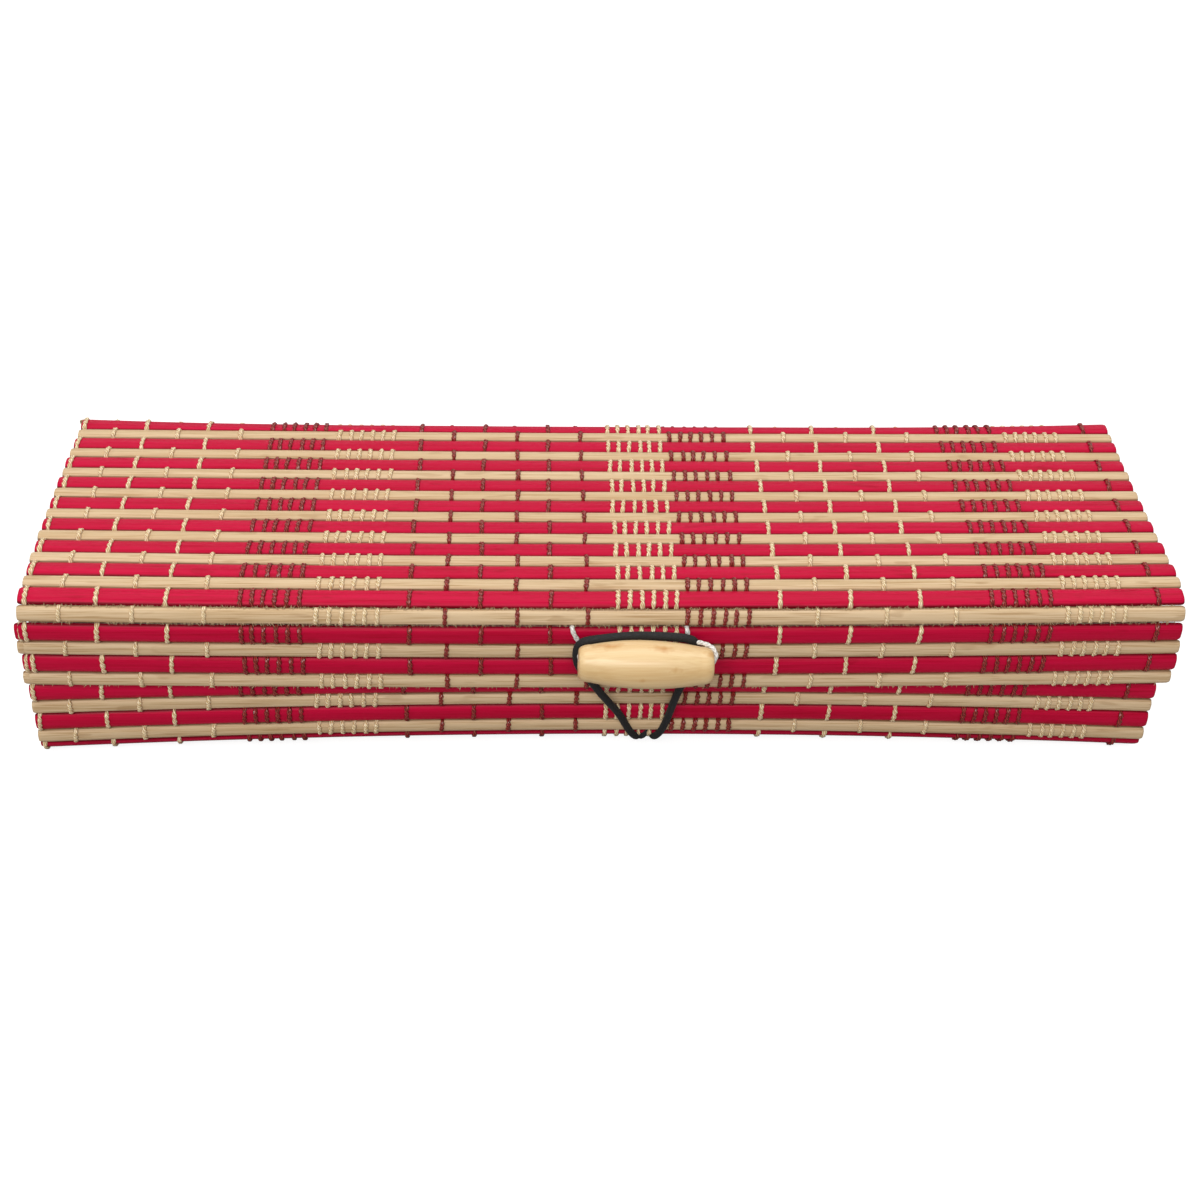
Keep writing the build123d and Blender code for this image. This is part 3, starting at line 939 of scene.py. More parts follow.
@dataclass(frozen=True)
class Bow:
    """How the mat bends along its slats, under the pull of the elastic and at its hinge."""

    lid_sag_back: float = 0.30 * MM
    lid_sag_front: float = 0.95 * MM
    hinge_drop: float = 0.90 * MM
    hinge_tuck: float = 0.75 * MM
    tuck_y: tuple[float, float] = (36.9 * MM, 37.5 * MM)
    fold_drop: float = 1.10 * MM
    fold_y: float = 36.7 * MM
    row_y: float = 32.6 * MM
    wall_lift_foot: float = 1.70 * MM
    wall_lift_top: float = 0.40 * MM
    wall_push: float = 1.80 * MM
    wall_height: float = 33.5 * MM
    back_y: float = 39.2 * MM
    front_y: float = -26.3 * MM
    half_length: float = 110.0 * MM
    base_x: float = -0.8 * MM
    lid_x: float = 0.8 * MM

    def bend(self, points: Points, panel: Panel) -> Points:
        """Bend points of a panel.

        Args:
            points: Points of the straight mat.
            panel: The stretch of the mat that they belong to.

        Returns:
            The points on the bowed mat.
        """
        centre = self.lid_x if panel is Panel.LID else self.base_x
        along = np.clip(np.abs(points[:, 0] - centre) / self.half_length, 0, 1)
        bow = 1 - along**2
        y, z = points[:, 1], points[:, 2]
        front = np.clip((self.back_y - y) / (self.back_y - self.front_y), 0, 1)
        moved = points.copy()
        if panel is Panel.LID:
            sag = self.lid_sag_back + (self.lid_sag_front - self.lid_sag_back) * front
            rows = (self.row_y, self.fold_y, self.back_y)
            drop = np.interp(y, rows, (0.0, self.fold_drop, self.hinge_drop))
            tuck = np.interp(y, self.tuck_y, (0.0, self.hinge_tuck))
            moved[:, 2] -= bow * sag + (1 - along**4) * drop + tuck
            return moved
        height = np.clip(z / self.wall_height, 0, 1)
        lift = self.wall_lift_foot - (self.wall_lift_foot - self.wall_lift_top) * height**3
        back = (1 - front) ** 6
        moved[:, 2] += bow * lift * front - (1 - along**4) * back * height * self.hinge_drop
        moved[:, 1] += bow * self.wall_push * front * (1 - height) ** 2
        return moved


BOW = Bow()


@dataclass
class MatSlats:
    """Slats of one colour in one stretch of the mat."""

    node: str
    body: str
    panel: Panel
    seed: int
    crown: float = 0.62 * MM
    crown_power: float = 3.6
    shoulder: float = 0.20 * MM
    shoulder_inset: float = 0.4
    inner: float = 0.28 * MM
    crown_points: int = 13
    stations: int = 44
    end_round: float = 0.75 * MM
    end_steps: tuple[float, ...] = (0.0, 0.18, 0.45)
    end_taper: float = 0.16
    end_power: float = 2.2
    shift: float = 0.3 * MM
    sway_across: float = 0.012 * MM
    sway_outward: float = 0.010 * MM
    sway_turns: tuple[float, ...] = (1.5, 3.1, 6.3)
    sway_share: tuple[float, float] = (0.35, 1.0)

    def section(self, slat: Slat) -> tuple[Points, Points, Points]:
        """The slat's outline, starting at one shoulder.

        Args:
            slat: The slat, for its width and thickness.

        Returns:
            Distances across, distances outward, and how far across the face each point lies.
        """
        side, top = slat.width / 2, slat.thick / 2
        turn = np.linspace(-math.pi / 2, math.pi / 2, self.crown_points)
        share = np.sin(turn)
        across = list(share * (side - self.shoulder * self.shoulder_inset))
        outward = list(top - self.crown * np.abs(share) ** self.crown_power)
        across += [side, side, side - self.inner, 0.0, -side + self.inner, -side, -side]
        outward += [
            top - self.crown - self.shoulder, -top + self.inner, -top, -top, -top,
            -top + self.inner, top - self.crown - self.shoulder,
        ]
        face = np.r_[(share + 1) / 2, [1.0, 1.0, 1.0, 1.0, 0.0, 0.0, 0.0]]
        return np.array(across), np.array(outward), face

    def carve(self, slat: Slat, dice: random.Random) -> tuple[Points, Faces, Points]:
        """One slat with rounded ends, slightly crooked.

        Args:
            slat: The slat.
            dice: The seeded source of small differences.

        Returns:
            Vertices, faces and map.
        """
        across, outward, face = self.section(slat)
        half = slat.length / 2
        places = np.linspace(-half + self.end_round, half - self.end_round, self.stations)
        tips = np.array(self.end_steps) * self.end_round
        places = np.r_[-half + tips, places, half - tips[::-1]]
        inset = np.clip((half - np.abs(places)) / self.end_round, 0, 1)
        taper = 1 - self.end_taper * (1 - inset) ** self.end_power
        phases = [dice.uniform(0, math.tau) for _ in self.sway_turns]
        waves = [dice.uniform(*self.sway_share) for _ in self.sway_turns]
        crooked = sum(
            wave * np.sin(places * turns * math.tau / slat.length + phase)
            for wave, turns, phase in zip(waves, self.sway_turns, phases)
        )
        jitter = dice.uniform(-1.0, 1.0) * self.shift
        rings = []
        for place, thin, lean in zip(places, taper, crooked):
            along = np.full(len(across), place + jitter)
            spread = across * thin + lean * self.sway_across
            rings.append(slat.at(along, spread, outward * thin + lean * self.sway_outward))
        points = np.vstack(rings)
        sides = len(across)
        chart = np.column_stack([np.tile(face, len(rings)), np.repeat(places, sides)])
        return BOW.bend(points, slat.panel), loft_faces(len(rings), sides), chart

    def build(self, finish: bpy.types.Material) -> list[Slat]:
        """Make the piece and put it in the node's place.

        Args:
            finish: The bamboo's material.

        Returns:
            The slats that it holds.
        """
        dice = random.Random(self.seed)
        slats = read_slats(self.node, self.panel)
        shape = Shape()
        for slat in slats:
            shape.add(*self.carve(slat, dice), tone=dice.random())
        piece = shape.make(self.node.replace("_slat", "_mat_slat"), finish)
        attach(piece, self.body)
        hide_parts(self.node)
        return slats


@dataclass(frozen=True)
class ThreadGroup:
    """Evenly spaced threads that go over the slats of one colour and under the other's."""

    first: float
    pitch: float
    count: int
    yarn: Yarn
    over: Dye


THREAD_UNIT = 2.21 * MM
THREAD_START = -108.2 * MM
THREAD_GROUPS = (
    ThreadGroup(-0.32, 5.91, 3, Yarn.CREAM, Dye.RED),
    ThreadGroup(2.64, 6.0, 3, Yarn.CREAM, Dye.NATURAL),
    ThreadGroup(17.60, 1.0, 6, Yarn.MAROON, Dye.RED),
    ThreadGroup(24.1, 1.02, 6, Yarn.CREAM, Dye.NATURAL),
    ThreadGroup(31.85, 6.03, 3, Yarn.MAROON, Dye.RED),
    ThreadGroup(35.0, 6.03, 3, Yarn.MAROON, Dye.NATURAL),
    ThreadGroup(49.72, 0.99, 6, Yarn.CREAM, Dye.RED),
    ThreadGroup(55.65, 1.04, 6, Yarn.MAROON, Dye.NATURAL),
    ThreadGroup(63.6, 6.04, 3, Yarn.CREAM, Dye.RED),
    ThreadGroup(66.75, 6.0, 3, Yarn.CREAM, Dye.NATURAL),
    ThreadGroup(81.9, 1.02, 6, Yarn.MAROON, Dye.RED),
    ThreadGroup(88.4, 0.98, 6, Yarn.CREAM, Dye.NATURAL),
    ThreadGroup(96.3, 1.0, 1, Yarn.MAROON, Dye.RED),
)


@dataclass
class Stitches:
    """The stitches of one yarn on one body's slats, each of two plies twisted together."""

    yarn: Yarn
    body: str
    seed: int
    ply_radius: float = 0.31 * MM
    ply_offset: float = 0.21 * MM
    end_pinch: float = 0.84
    swell_reach: float = 1.15
    slant: float = 0.14 * MM
    crown: float = 0.62 * MM
    crown_power: float = 3.6
    half_turns: float = 1.5
    sides: int = 6
    half_stations: tuple[float, ...] = (0.25, 0.5, 0.7, 0.88, 1.0, 1.07)
    size_spread: tuple[float, float] = (0.92, 1.08)
    lean_spread: tuple[float, float] = (-0.3, 1.3)
    place_spread: float = 0.10 * MM
    unit_spread: float = 0.05
    turn_spread: tuple[float, float] = (0.85, 1.15)
    stand: float = 0.45
    dives: tuple[float, float] = (0.275 * MM, 0.3575 * MM)
    ply_lift: tuple[float, float] = (0.35, 0.65)
    above_share: float = 0.8
    flatten: float = 0.85
    floor_gap: float = 0.02 * MM

    def sew(self, slat: Slat, x: float, dice: random.Random) -> list[tuple[Points, Faces, Points]]:
        """One stitch over a slat, from gap to gap.

        Args:
            slat: The slat it crosses.
            x: Its distance from the slat's middle.
            dice: The seeded source of small differences.

        Returns:
            Vertices, faces and map of each ply.
        """
        half = np.array(self.half_stations)
        share = np.r_[-half[::-1], 0.0, half]
        side, top = slat.width / 2, slat.thick / 2
        swell = np.sqrt(np.clip(1 - (share / self.swell_reach) ** 2, 0, 1))
        pinch = self.end_pinch + (1 - self.end_pinch) * swell
        size = dice.uniform(*self.size_spread)
        radius = self.ply_radius * size * pinch
        offset = self.ply_offset * size * pinch
        surface = top - self.crown * np.clip(np.abs(share), 0, 1) ** self.crown_power
        height = surface + radius * self.stand
        height[np.abs(share) >= 1.0] -= self.dives[0]
        height[np.abs(share) > 1.0] -= self.dives[1]
        lean = self.slant * dice.uniform(*self.lean_spread) * share
        lean = lean + dice.uniform(-1.0, 1.0) * self.place_spread
        phase = dice.uniform(0, math.tau)
        twist = phase + share * math.pi * self.half_turns * dice.uniform(*self.turn_spread)
        turn = np.arange(self.sides) / self.sides * math.tau
        level, swing = self.ply_lift
        plies = []
        for start in (0.0, math.pi):
            away = offset * np.cos(twist + start)
            above = offset * (level + swing * np.sin(twist + start)) * self.above_share
            rings = []
            for place, thick, drift, over, rise in zip(share, radius, lean + away, above, height):
                along = x + drift + thick * np.cos(turn)
                out = rise + over + thick * self.flatten * np.sin(turn)
                rings.append(slat.at(along, np.full(self.sides, place * side), out))
            chart = np.empty((len(share), self.sides, 2))
            chart[:, :, 0] = np.abs(np.arange(self.sides) / self.sides * 2 - 1)[None, :] + phase
            chart[:, :, 1] = ((share + 1) / 2)[:, None]
            points = BOW.bend(np.vstack(rings), slat.panel)
            points[:, 2] = np.maximum(points[:, 2], self.floor_gap)
            plies.append((points, loft_faces(len(share), self.sides), chart.reshape(-1, 2)))
        return plies

    def build(self, slats: list[Slat], finish: bpy.types.Material) -> None:
        """Sew every stitch of this yarn over the slats, as one piece.

        Args:
            slats: The slats of the body.
            finish: The thread's material.
        """
        dice = random.Random(self.seed)
        shape = Shape()
        for slat in slats:
            for group in THREAD_GROUPS:
                if group.yarn is not self.yarn or group.over is not slat.dye:
                    continue
                for number in range(group.count):
                    unit = group.first + number * group.pitch + dice.uniform(-1.0, 1.0) * self.unit_spread
                    x = THREAD_START + unit * THREAD_UNIT
                    for ply in self.sew(slat, x, dice):
                        shape.add(*ply, tone=dice.random())
        if shape.count:
            piece = shape.make(f"{self.body}_threads_{self.yarn.value}", finish)
            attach(piece, self.body)


@dataclass
class TornFibres:
    """Short fibres that stand off a slat's edge where it was split."""

    name: str
    body: str
    seed: int
    edge: float
    per_metre: float = 4200.0
    length: tuple[float, float] = (0.18 * MM, 0.60 * MM)
    length_share: tuple[float, float] = (0.4, 1.0)
    radius: float = 0.12 * MM
    radius_share: tuple[float, float] = (0.5, 1.2)
    thinning: float = 0.8
    root: float = 0.25 * MM
    depth: tuple[float, float] = (-0.4 * MM, 0.25 * MM)
    lift: tuple[float, float] = (-0.15, 0.5)
    lean: float = 0.9
    curl: float = 0.3
    end_share: float = 0.49
    points: int = 4

    def build(self, slat: Slat, finish: bpy.types.Material) -> None:
        """Set the fibres along one edge of a slat.

        Args:
            slat: The slat they stand on.
            finish: Their material.
        """
        dice = random.Random(self.seed)
        shape = Shape()
        for _ in range(int(self.per_metre * slat.length)):
            x = dice.uniform(-self.end_share, self.end_share) * slat.length
            reach = dice.uniform(*self.length) * dice.uniform(*self.length_share)
            lean = dice.gauss(0.0, self.lean)
            lift = dice.uniform(*self.lift)
            share = np.linspace(0, 1, self.points)
            start = slat.width / 2 - self.root
            across = self.edge * (start + (self.root + reach) * share)
            outward = dice.uniform(*self.depth) + lift * reach * share**2
            along = x + lean * reach * share + dice.uniform(-self.curl, self.curl) * reach * share**2
            line = slat.at(np.zeros(self.points), across, outward)
            line[:, 0] = slat.x + along
            thin = self.radius * dice.uniform(*self.radius_share) * (1 - self.thinning * share)
            part = cord_tube(BOW.bend(line, slat.panel), np.repeat(thin[:, None], 3, axis=1))
            shape.add(*part, tone=dice.random())
        piece = shape.make(self.name, finish)
        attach(piece, self.body)


MAT_BODIES: dict[str, tuple[Panel, tuple[str, ...]]] = {
    "base": (
        Panel.BASE,
        (
            "front_wall_slats_red", "front_wall_slats_natural", "front_bottom_slat", "bottom_slats_red",
            "bottom_slats_natural", "back_bottom_slat", "back_wall_slats_red", "back_wall_slats_natural",
        ),
    ),
    "hinge": (Panel.LID, ("hinge_slat",)),
    "lid": (Panel.LID, ("lid_slats_red", "lid_slats_natural")),
    "corner": (Panel.LID, ("front_corner_slat",)),
    "flap": (Panel.LID, ("flap_slats_red", "flap_slats_natural")),
}


@dataclass
class WovenMat:
    """The whole mat: slats, threads and torn fibres, body by body."""

    seed: int = 20
    slats: dict[str, list[Slat]] = field(default_factory=dict)

    def build(self) -> None:
        """Make every piece of the mat."""
        bamboo = {Dye.RED: RED_BAMBOO.build(), Dye.NATURAL: NATURAL_BAMBOO.build()}
        yarns = {Yarn.CREAM: CREAM_THREAD.build(), Yarn.MAROON: MAROON_THREAD.build()}
        for number, (body, (panel, nodes)) in enumerate(MAT_BODIES.items()):
            self.slats[body] = []
            for step, node in enumerate(nodes):
                part = MatSlats(node, body, panel, self.seed + 10 * number + step)
                self.slats[body] += part.build(bamboo[dye_of(node)])
            for yarn, finish in yarns.items():
                Stitches(yarn, body, self.seed + 100 + number).build(self.slats[body], finish)
        self.fray()

    def fray(self) -> None:
        """Torn fibres on the fold above the flap and along the flap's lower edge."""
        fibre = FIBRE.build()
        corner = self.slats["corner"][0]
        lowest = min(self.slats["flap"], key=lambda slat: slat.middle[1])
        fold_up, flap_up = self.edge_up(corner), self.edge_up(lowest)
        TornFibres("fold_fibres_upper", "corner", 71, fold_up).build(corner, fibre)
        TornFibres("fold_fibres_lower", "corner", 72, -fold_up).build(corner, fibre)
        TornFibres("flap_fibres", "flap", 73, -flap_up, per_metre=1500.0).build(lowest, fibre)

    @staticmethod
    def edge_up(slat: Slat) -> float:
        """Which way across the slat leads up: 1 or -1."""
        return 1.0 if slat.across[1] > 0 else -1.0


@dataclass
class ToggleBead:
    """Barrel of boxwood on the string, slightly uneven from hand sanding."""

    node: str = "toggle_bead"
    body: str = "bead"
    length: float = 25.3 * MM
    radius: float = 4.62 * MM
    end_radius: float = 3.1 * MM
    bore: float = 1.0 * MM
    edge: float = 1.15 * MM
    edge_length: float = 2.3 * MM
    tilt: float = math.radians(1.7)
    slide: float = 0.25 * MM
    rim_points: int = 9
    mouth_depth: float = 0.9 * MM
    mouth_edge: tuple[float, float] = (0.16 * MM, 0.03 * MM)
    mouth_flare: float = 0.22 * MM
    dents: tuple[float, float] = (0.012, 0.006)
    dent_turn: float = 0.7
    dent_change: float = 0.5
    dent_wave: float = 400.0
    sides: int = 72
    stations: int = 44

    def middle(self) -> Vector:
        """The middle of the bead's CAD node."""
        low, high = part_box(self.node)
        return (low + high) / 2

    def profile(self) -> tuple[Points, Points]:
        """The bead's outline, from the bore at one end to the bore at the other.

        Returns:
            Distances along the bead and radii.
        """
        half = self.length / 2
        barrel = np.linspace(-half + self.edge_length, half - self.edge_length, self.stations)
        swell = self.end_radius + (self.radius - self.end_radius) * (1 - (barrel / half) ** 2)
        turn = np.linspace(0, math.pi / 2, self.rim_points + 1)[:-1]
        start = swell[0] - self.edge
        rim_x = -half + self.edge_length * (1 - np.sin(math.pi / 2 - turn))
        rim_r = start + self.edge * np.cos(math.pi / 2 - turn)
        edge_x, edge_r = self.mouth_edge
        mouth_x = np.array([-half + self.mouth_depth, -half + edge_x, -half])
        mouth_r = np.array([self.bore, self.bore + edge_r, self.bore + self.mouth_flare])
        left_x, left_r = np.r_[mouth_x, rim_x], np.r_[mouth_r, rim_r]
        along = np.r_[left_x, barrel, -left_x[::-1]]
        return along, np.r_[left_r, swell, left_r[::-1]]

    def build(self) -> None:
        """Turn the bead, close its bore and put it in the node's place."""
        along, radii = self.profile()
        turn = np.arange(self.sides) / self.sides * math.tau
        large, small = self.dents
        dent = 1 + large * np.sin(2 * turn + self.dent_turn) + small * np.sin(3 * turn)
        axis = Vector((math.cos(self.tilt), 0.0, -math.sin(self.tilt)))
        side = Vector((0.0, -1.0, 0.0))
        up = Vector((math.sin(self.tilt), 0.0, math.cos(self.tilt)))
        rings = []
        for place, radius in zip(along, radii):
            wave = 1 + (dent - 1) * (1 + self.dent_change * math.sin(place * self.dent_wave))
            y, z = radius * wave * np.sin(turn), radius * wave * np.cos(turn)
            centre = np.outer(np.full(self.sides, place), axis)
            rings.append(centre + np.outer(y, side) + np.outer(z, up))
        points = np.vstack(rings) + np.array(self.middle()) - (self.slide, 0.0, 0.0)
        chart = np.column_stack(
            [np.tile(turn / math.tau, len(along)), np.repeat(along / self.length, self.sides)]
        )
        shape = Shape()
        faces = loft_faces(len(along), self.sides, closed_ends=False)
        last = (len(along) - 1) * self.sides
        faces += [
            (last + s, last + (s + 1) % self.sides, (s + 1) % self.sides, s) for s in range(self.sides)
        ]
        shape.add(points, faces, chart)
        piece = shape.make("boxwood_bead", self.finish().build())
        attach(piece, self.body)
        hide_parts(self.node)

    def finish(self) -> BoxwoodFinish:
        """The bead's finish, with its stains placed round its middle.

        Returns:
            The finish.
        """
        centre = self.middle()
        marks = (
            ((-6.6, 0.0, 4.25), 0.95), ((-9.0, 0.4, 3.9), 0.6), ((2.7, -0.9, 4.5), 0.85),
            ((5.2, -4.2, 1.7), 0.40), ((12.0, -0.6, 3.1), 0.6), ((-1.0, -4.6, -0.2), 0.35),
        )
        stains = tuple(
            ((centre.x + x * MM, centre.y + y * MM, centre.z + z * MM), size * MM)
            for (x, y, z), size in marks
        )
        return BoxwoodFinish(
            "boxwood",
            pale=(0.82, 0.61, 0.33),
            warm=(0.70, 0.46, 0.20),
            stain=(0.52, 0.22, 0.04),
            stains=stains,
        )


@dataclass
class Toggle:
    """The string and the elastic, which pass round the bead."""

    bead_middle: Vector
    elastic_x: float = 8.8 * MM
    slot: tuple[float, float] = (-24.762 * MM, 2.223 * MM)
    fold: tuple[float, float] = (-28.285 * MM, 35.303 * MM)
    fold_turn: float = math.radians(168.5)
    string_diameter: float = 0.95 * MM
    string_step: float = 0.16 * MM
    string_sides: int = 12
    string_lay: float = 1.5 * MM
    ply_depth: float = 0.13
    elastic_slack: float = 1.66 * MM
    elastic_drawn: float = 1.50 * MM
    drawn_below: float = 14 * MM
    slack_above: float = 2 * MM
    elastic_step: float = 0.12 * MM
    elastic_sides: int = 32
    braid_lay: float = 1.9 * MM
    braid_depth: float = 0.09
    knot_gap: float = 6 * MM
    knot_points: int = 72
    knot_sides: int = 12

    def from_bead(self, x: float, y: float, z: float) -> Place:
        """A point beside the bead, in millimetres from its middle."""
        centre = self.bead_middle
        return (centre.x + x * MM, centre.y + y * MM, centre.z + z * MM)

    def from_slot(self, x: float, y: float, z: float) -> Place:
        """A point beside the elastic's slot, in millimetres from its middle on the bowed wall."""
        slot = BOW.bend(np.array([[self.elastic_x, *self.slot]]), Panel.BASE)[0]
        return (slot[0] + x * MM, slot[1] + y * MM, slot[2] + z * MM)

    def from_fold(self, x: float, reach: float) -> Place:
        """A point on the string's way out of the sagging fold.

        Args:
            x: Millimetres along the slats from the bead's middle.
            reach: Millimetres out of the fold.

        Returns:
            The point.
        """
        place = np.array([[self.bead_middle.x + x * MM, *self.fold]])
        hole = BOW.bend(place, Panel.LID)[0]
        y = hole[1] + reach * MM * math.cos(self.fold_turn)
        z = hole[2] + reach * MM * math.sin(self.fold_turn)
        return (hole[0], y, z)

    def string_route(self) -> list[Place]:
        """The string's route: out of the fold, behind the elastic and through the bead.

        Returns:
            The route's points.
        """
        return [
            self.from_fold(-13.95, 0.0),
            self.from_fold(-13.95, 1.2),
            self.from_bead(-13.5, 5.8, 2.3),
            self.from_bead(-12.7, 5.8, 0.9),
            self.from_bead(-12.3, 4.7, -0.6),
            self.from_bead(-12.6, 3.2, -0.6),
            self.from_bead(-12.5, 1.4, 0.1),
            self.from_bead(-12.3, 0.0, 0.39),
            self.from_bead(-11.0, 0.0, 0.34),
            self.from_bead(11.4, 0.0, -0.34),
            self.from_bead(12.3, 0.1, 0.2),
            self.from_bead(12.85, 0.5, 0.9),
            self.from_bead(12.95, 1.0, 1.6),
            self.from_bead(12.4, 2.0, 2.4),
            self.from_bead(11.6, 2.7, 2.5),
            self.from_bead(10.2, 3.6, 2.4),
            self.from_bead(8.5, 4.9, 1.6),
            self.from_bead(8.0, 5.8, 1.3),
            self.from_bead(7.9, 5.8, 2.5),
            self.from_fold(7.75, 1.2),
            self.from_fold(7.75, 0.0),
        ]

    def elastic_route(self) -> list[Place]:
        """The elastic's route: out of the slot, up behind the bead, over it and down.

        Returns:
            The route's points.
        """
        return [
            self.from_slot(-0.9, 0.4, 0.4),
            self.from_slot(-1.2, -0.9, -0.6),
            self.from_slot(-2.2, -1.9, 0.4),
            self.from_slot(-3.6, -2.7, 3.1),
            self.from_slot(-5.4, -3.5, 7.6),
            self.from_bead(-7.5, 5.9, -13.0),
            self.from_bead(-10.4, 5.3, -8.0),
            self.from_bead(-13.0, 4.75, -3.9),
            self.from_bead(-13.1, 4.6, 0.4),
            self.from_bead(-11.9, 4.35, 2.1),
            self.from_bead(-8.8, 4.3, 2.7),
            self.from_bead(-3.0, 4.45, 3.4),
            self.from_bead(3.2, 4.5, 3.2),
            self.from_bead(7.3, 4.25, 3.0),
            self.from_bead(9.5, 4.3, 2.1),
            self.from_bead(9.3, 4.6, -1.4),
            self.from_bead(8.2, 5.0, -6.2),
            self.from_bead(6.4, 5.6, -12.6),
            self.from_slot(4.5, -3.5, 7.6),
            self.from_slot(3.5, -2.7, 3.1),
            self.from_slot(2.4, -1.9, 0.4),
            self.from_slot(1.5, -0.9, -0.6),
            self.from_slot(1.2, 0.4, 0.4),
        ]

    def build(self) -> None:
        """Make the string, the elastic and their knots."""
        self.lay_string()
        self.lay_elastic()
        self.tie("string_knots", "corner", "tied_string_knots", 0.30 * MM)
        self.tie("elastic_knot", "base", "tied_elastic_knot", 0.85 * MM)

    def lay_string(self) -> None:
        """Twisted white string."""
        path = even_steps(route_points(self.string_route(), "string_line"), self.string_step)
        run = np.arange(len(path)) * self.string_step
        turn = np.arange(self.string_sides) / self.string_sides * math.tau
        climb = run[:, None] / self.string_lay * math.tau / 2
        ply = 1 + self.ply_depth * np.cos(2 * (turn[None, :] - climb))
        radius = self.string_diameter / 2 * ply / (1 + self.ply_depth)
        shape = Shape()
        shape.add(*cord_tube(path, radius))
        piece = shape.make("toggle_string", WHITE_STRING.build())
        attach(piece, "string")
        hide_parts("bead_string")

    def lay_elastic(self) -> None:
        """Braided black elastic, with strands that cross over and under."""
        path = even_steps(route_points(self.elastic_route(), "elastic_line"), self.elastic_step)
        run = np.arange(len(path)) * self.elastic_step
        turn = np.arange(self.elastic_sides) / self.elastic_sides * math.tau
        climb = run[:, None] / self.braid_lay * math.tau / 2
        right = np.sin(4 * turn[None, :] + 2 * climb)
        left = np.sin(4 * turn[None, :] - 2 * climb)
        braid = np.maximum(np.abs(right), np.abs(left))
        levels = (self.bead_middle.z - self.drawn_below, self.bead_middle.z - self.slack_above)
        drawn = np.interp(path[:, 2], levels, (self.elastic_drawn, self.elastic_slack))
        radius = drawn[:, None] / 2 * (1 - self.braid_depth + self.braid_depth * braid)
        shape = Shape()
        shape.add(*cord_tube(path, radius))
        piece = shape.make("braided_elastic", BLACK_BRAID.build())
        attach(piece, "loop")
        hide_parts("elastic_loop")

    def tie(self, node: str, body: str, name: str, radius: float) -> None:
        """Put tied knots in the place of a node's plain ones.

        Args:
            node: The node with the plain knots.
            body: The body that it belongs to.
            name: The new piece's name.
            radius: The cord's radius.
        """
        points = np.array([tuple(vertex.co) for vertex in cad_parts[node].data.vertices])
        order = np.argsort(points[:, 0])
        breaks = np.flatnonzero(np.diff(points[order, 0]) > self.knot_gap) + 1
        material = bpy.data.materials["white_string" if body == "corner" else "black_braid"]
        shape = Shape()
        for rows in np.split(order, breaks):
            low, high = points[rows].min(axis=0), points[rows].max(axis=0)
            centre, reach = (low + high) / 2, (high - low) / 2
            turn = np.linspace(0, math.tau, self.knot_points, endpoint=False)
            line = np.column_stack(
                [
                    (np.sin(turn) + 2 * np.sin(2 * turn)) / 3 * (reach[0] - radius),
                    (np.cos(turn) - 2 * np.cos(2 * turn)) / 3 * (reach[1] - radius),
                    -np.sin(3 * turn) * (reach[2] - radius) * 0.8,
                ]
            )
            closed = np.vstack([line, line[:2]]) + centre
            shape.add(*cord_tube(closed, np.full((len(closed), self.knot_sides), radius)))
        piece = shape.make(name, material)
        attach(piece, body)
        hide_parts(node)


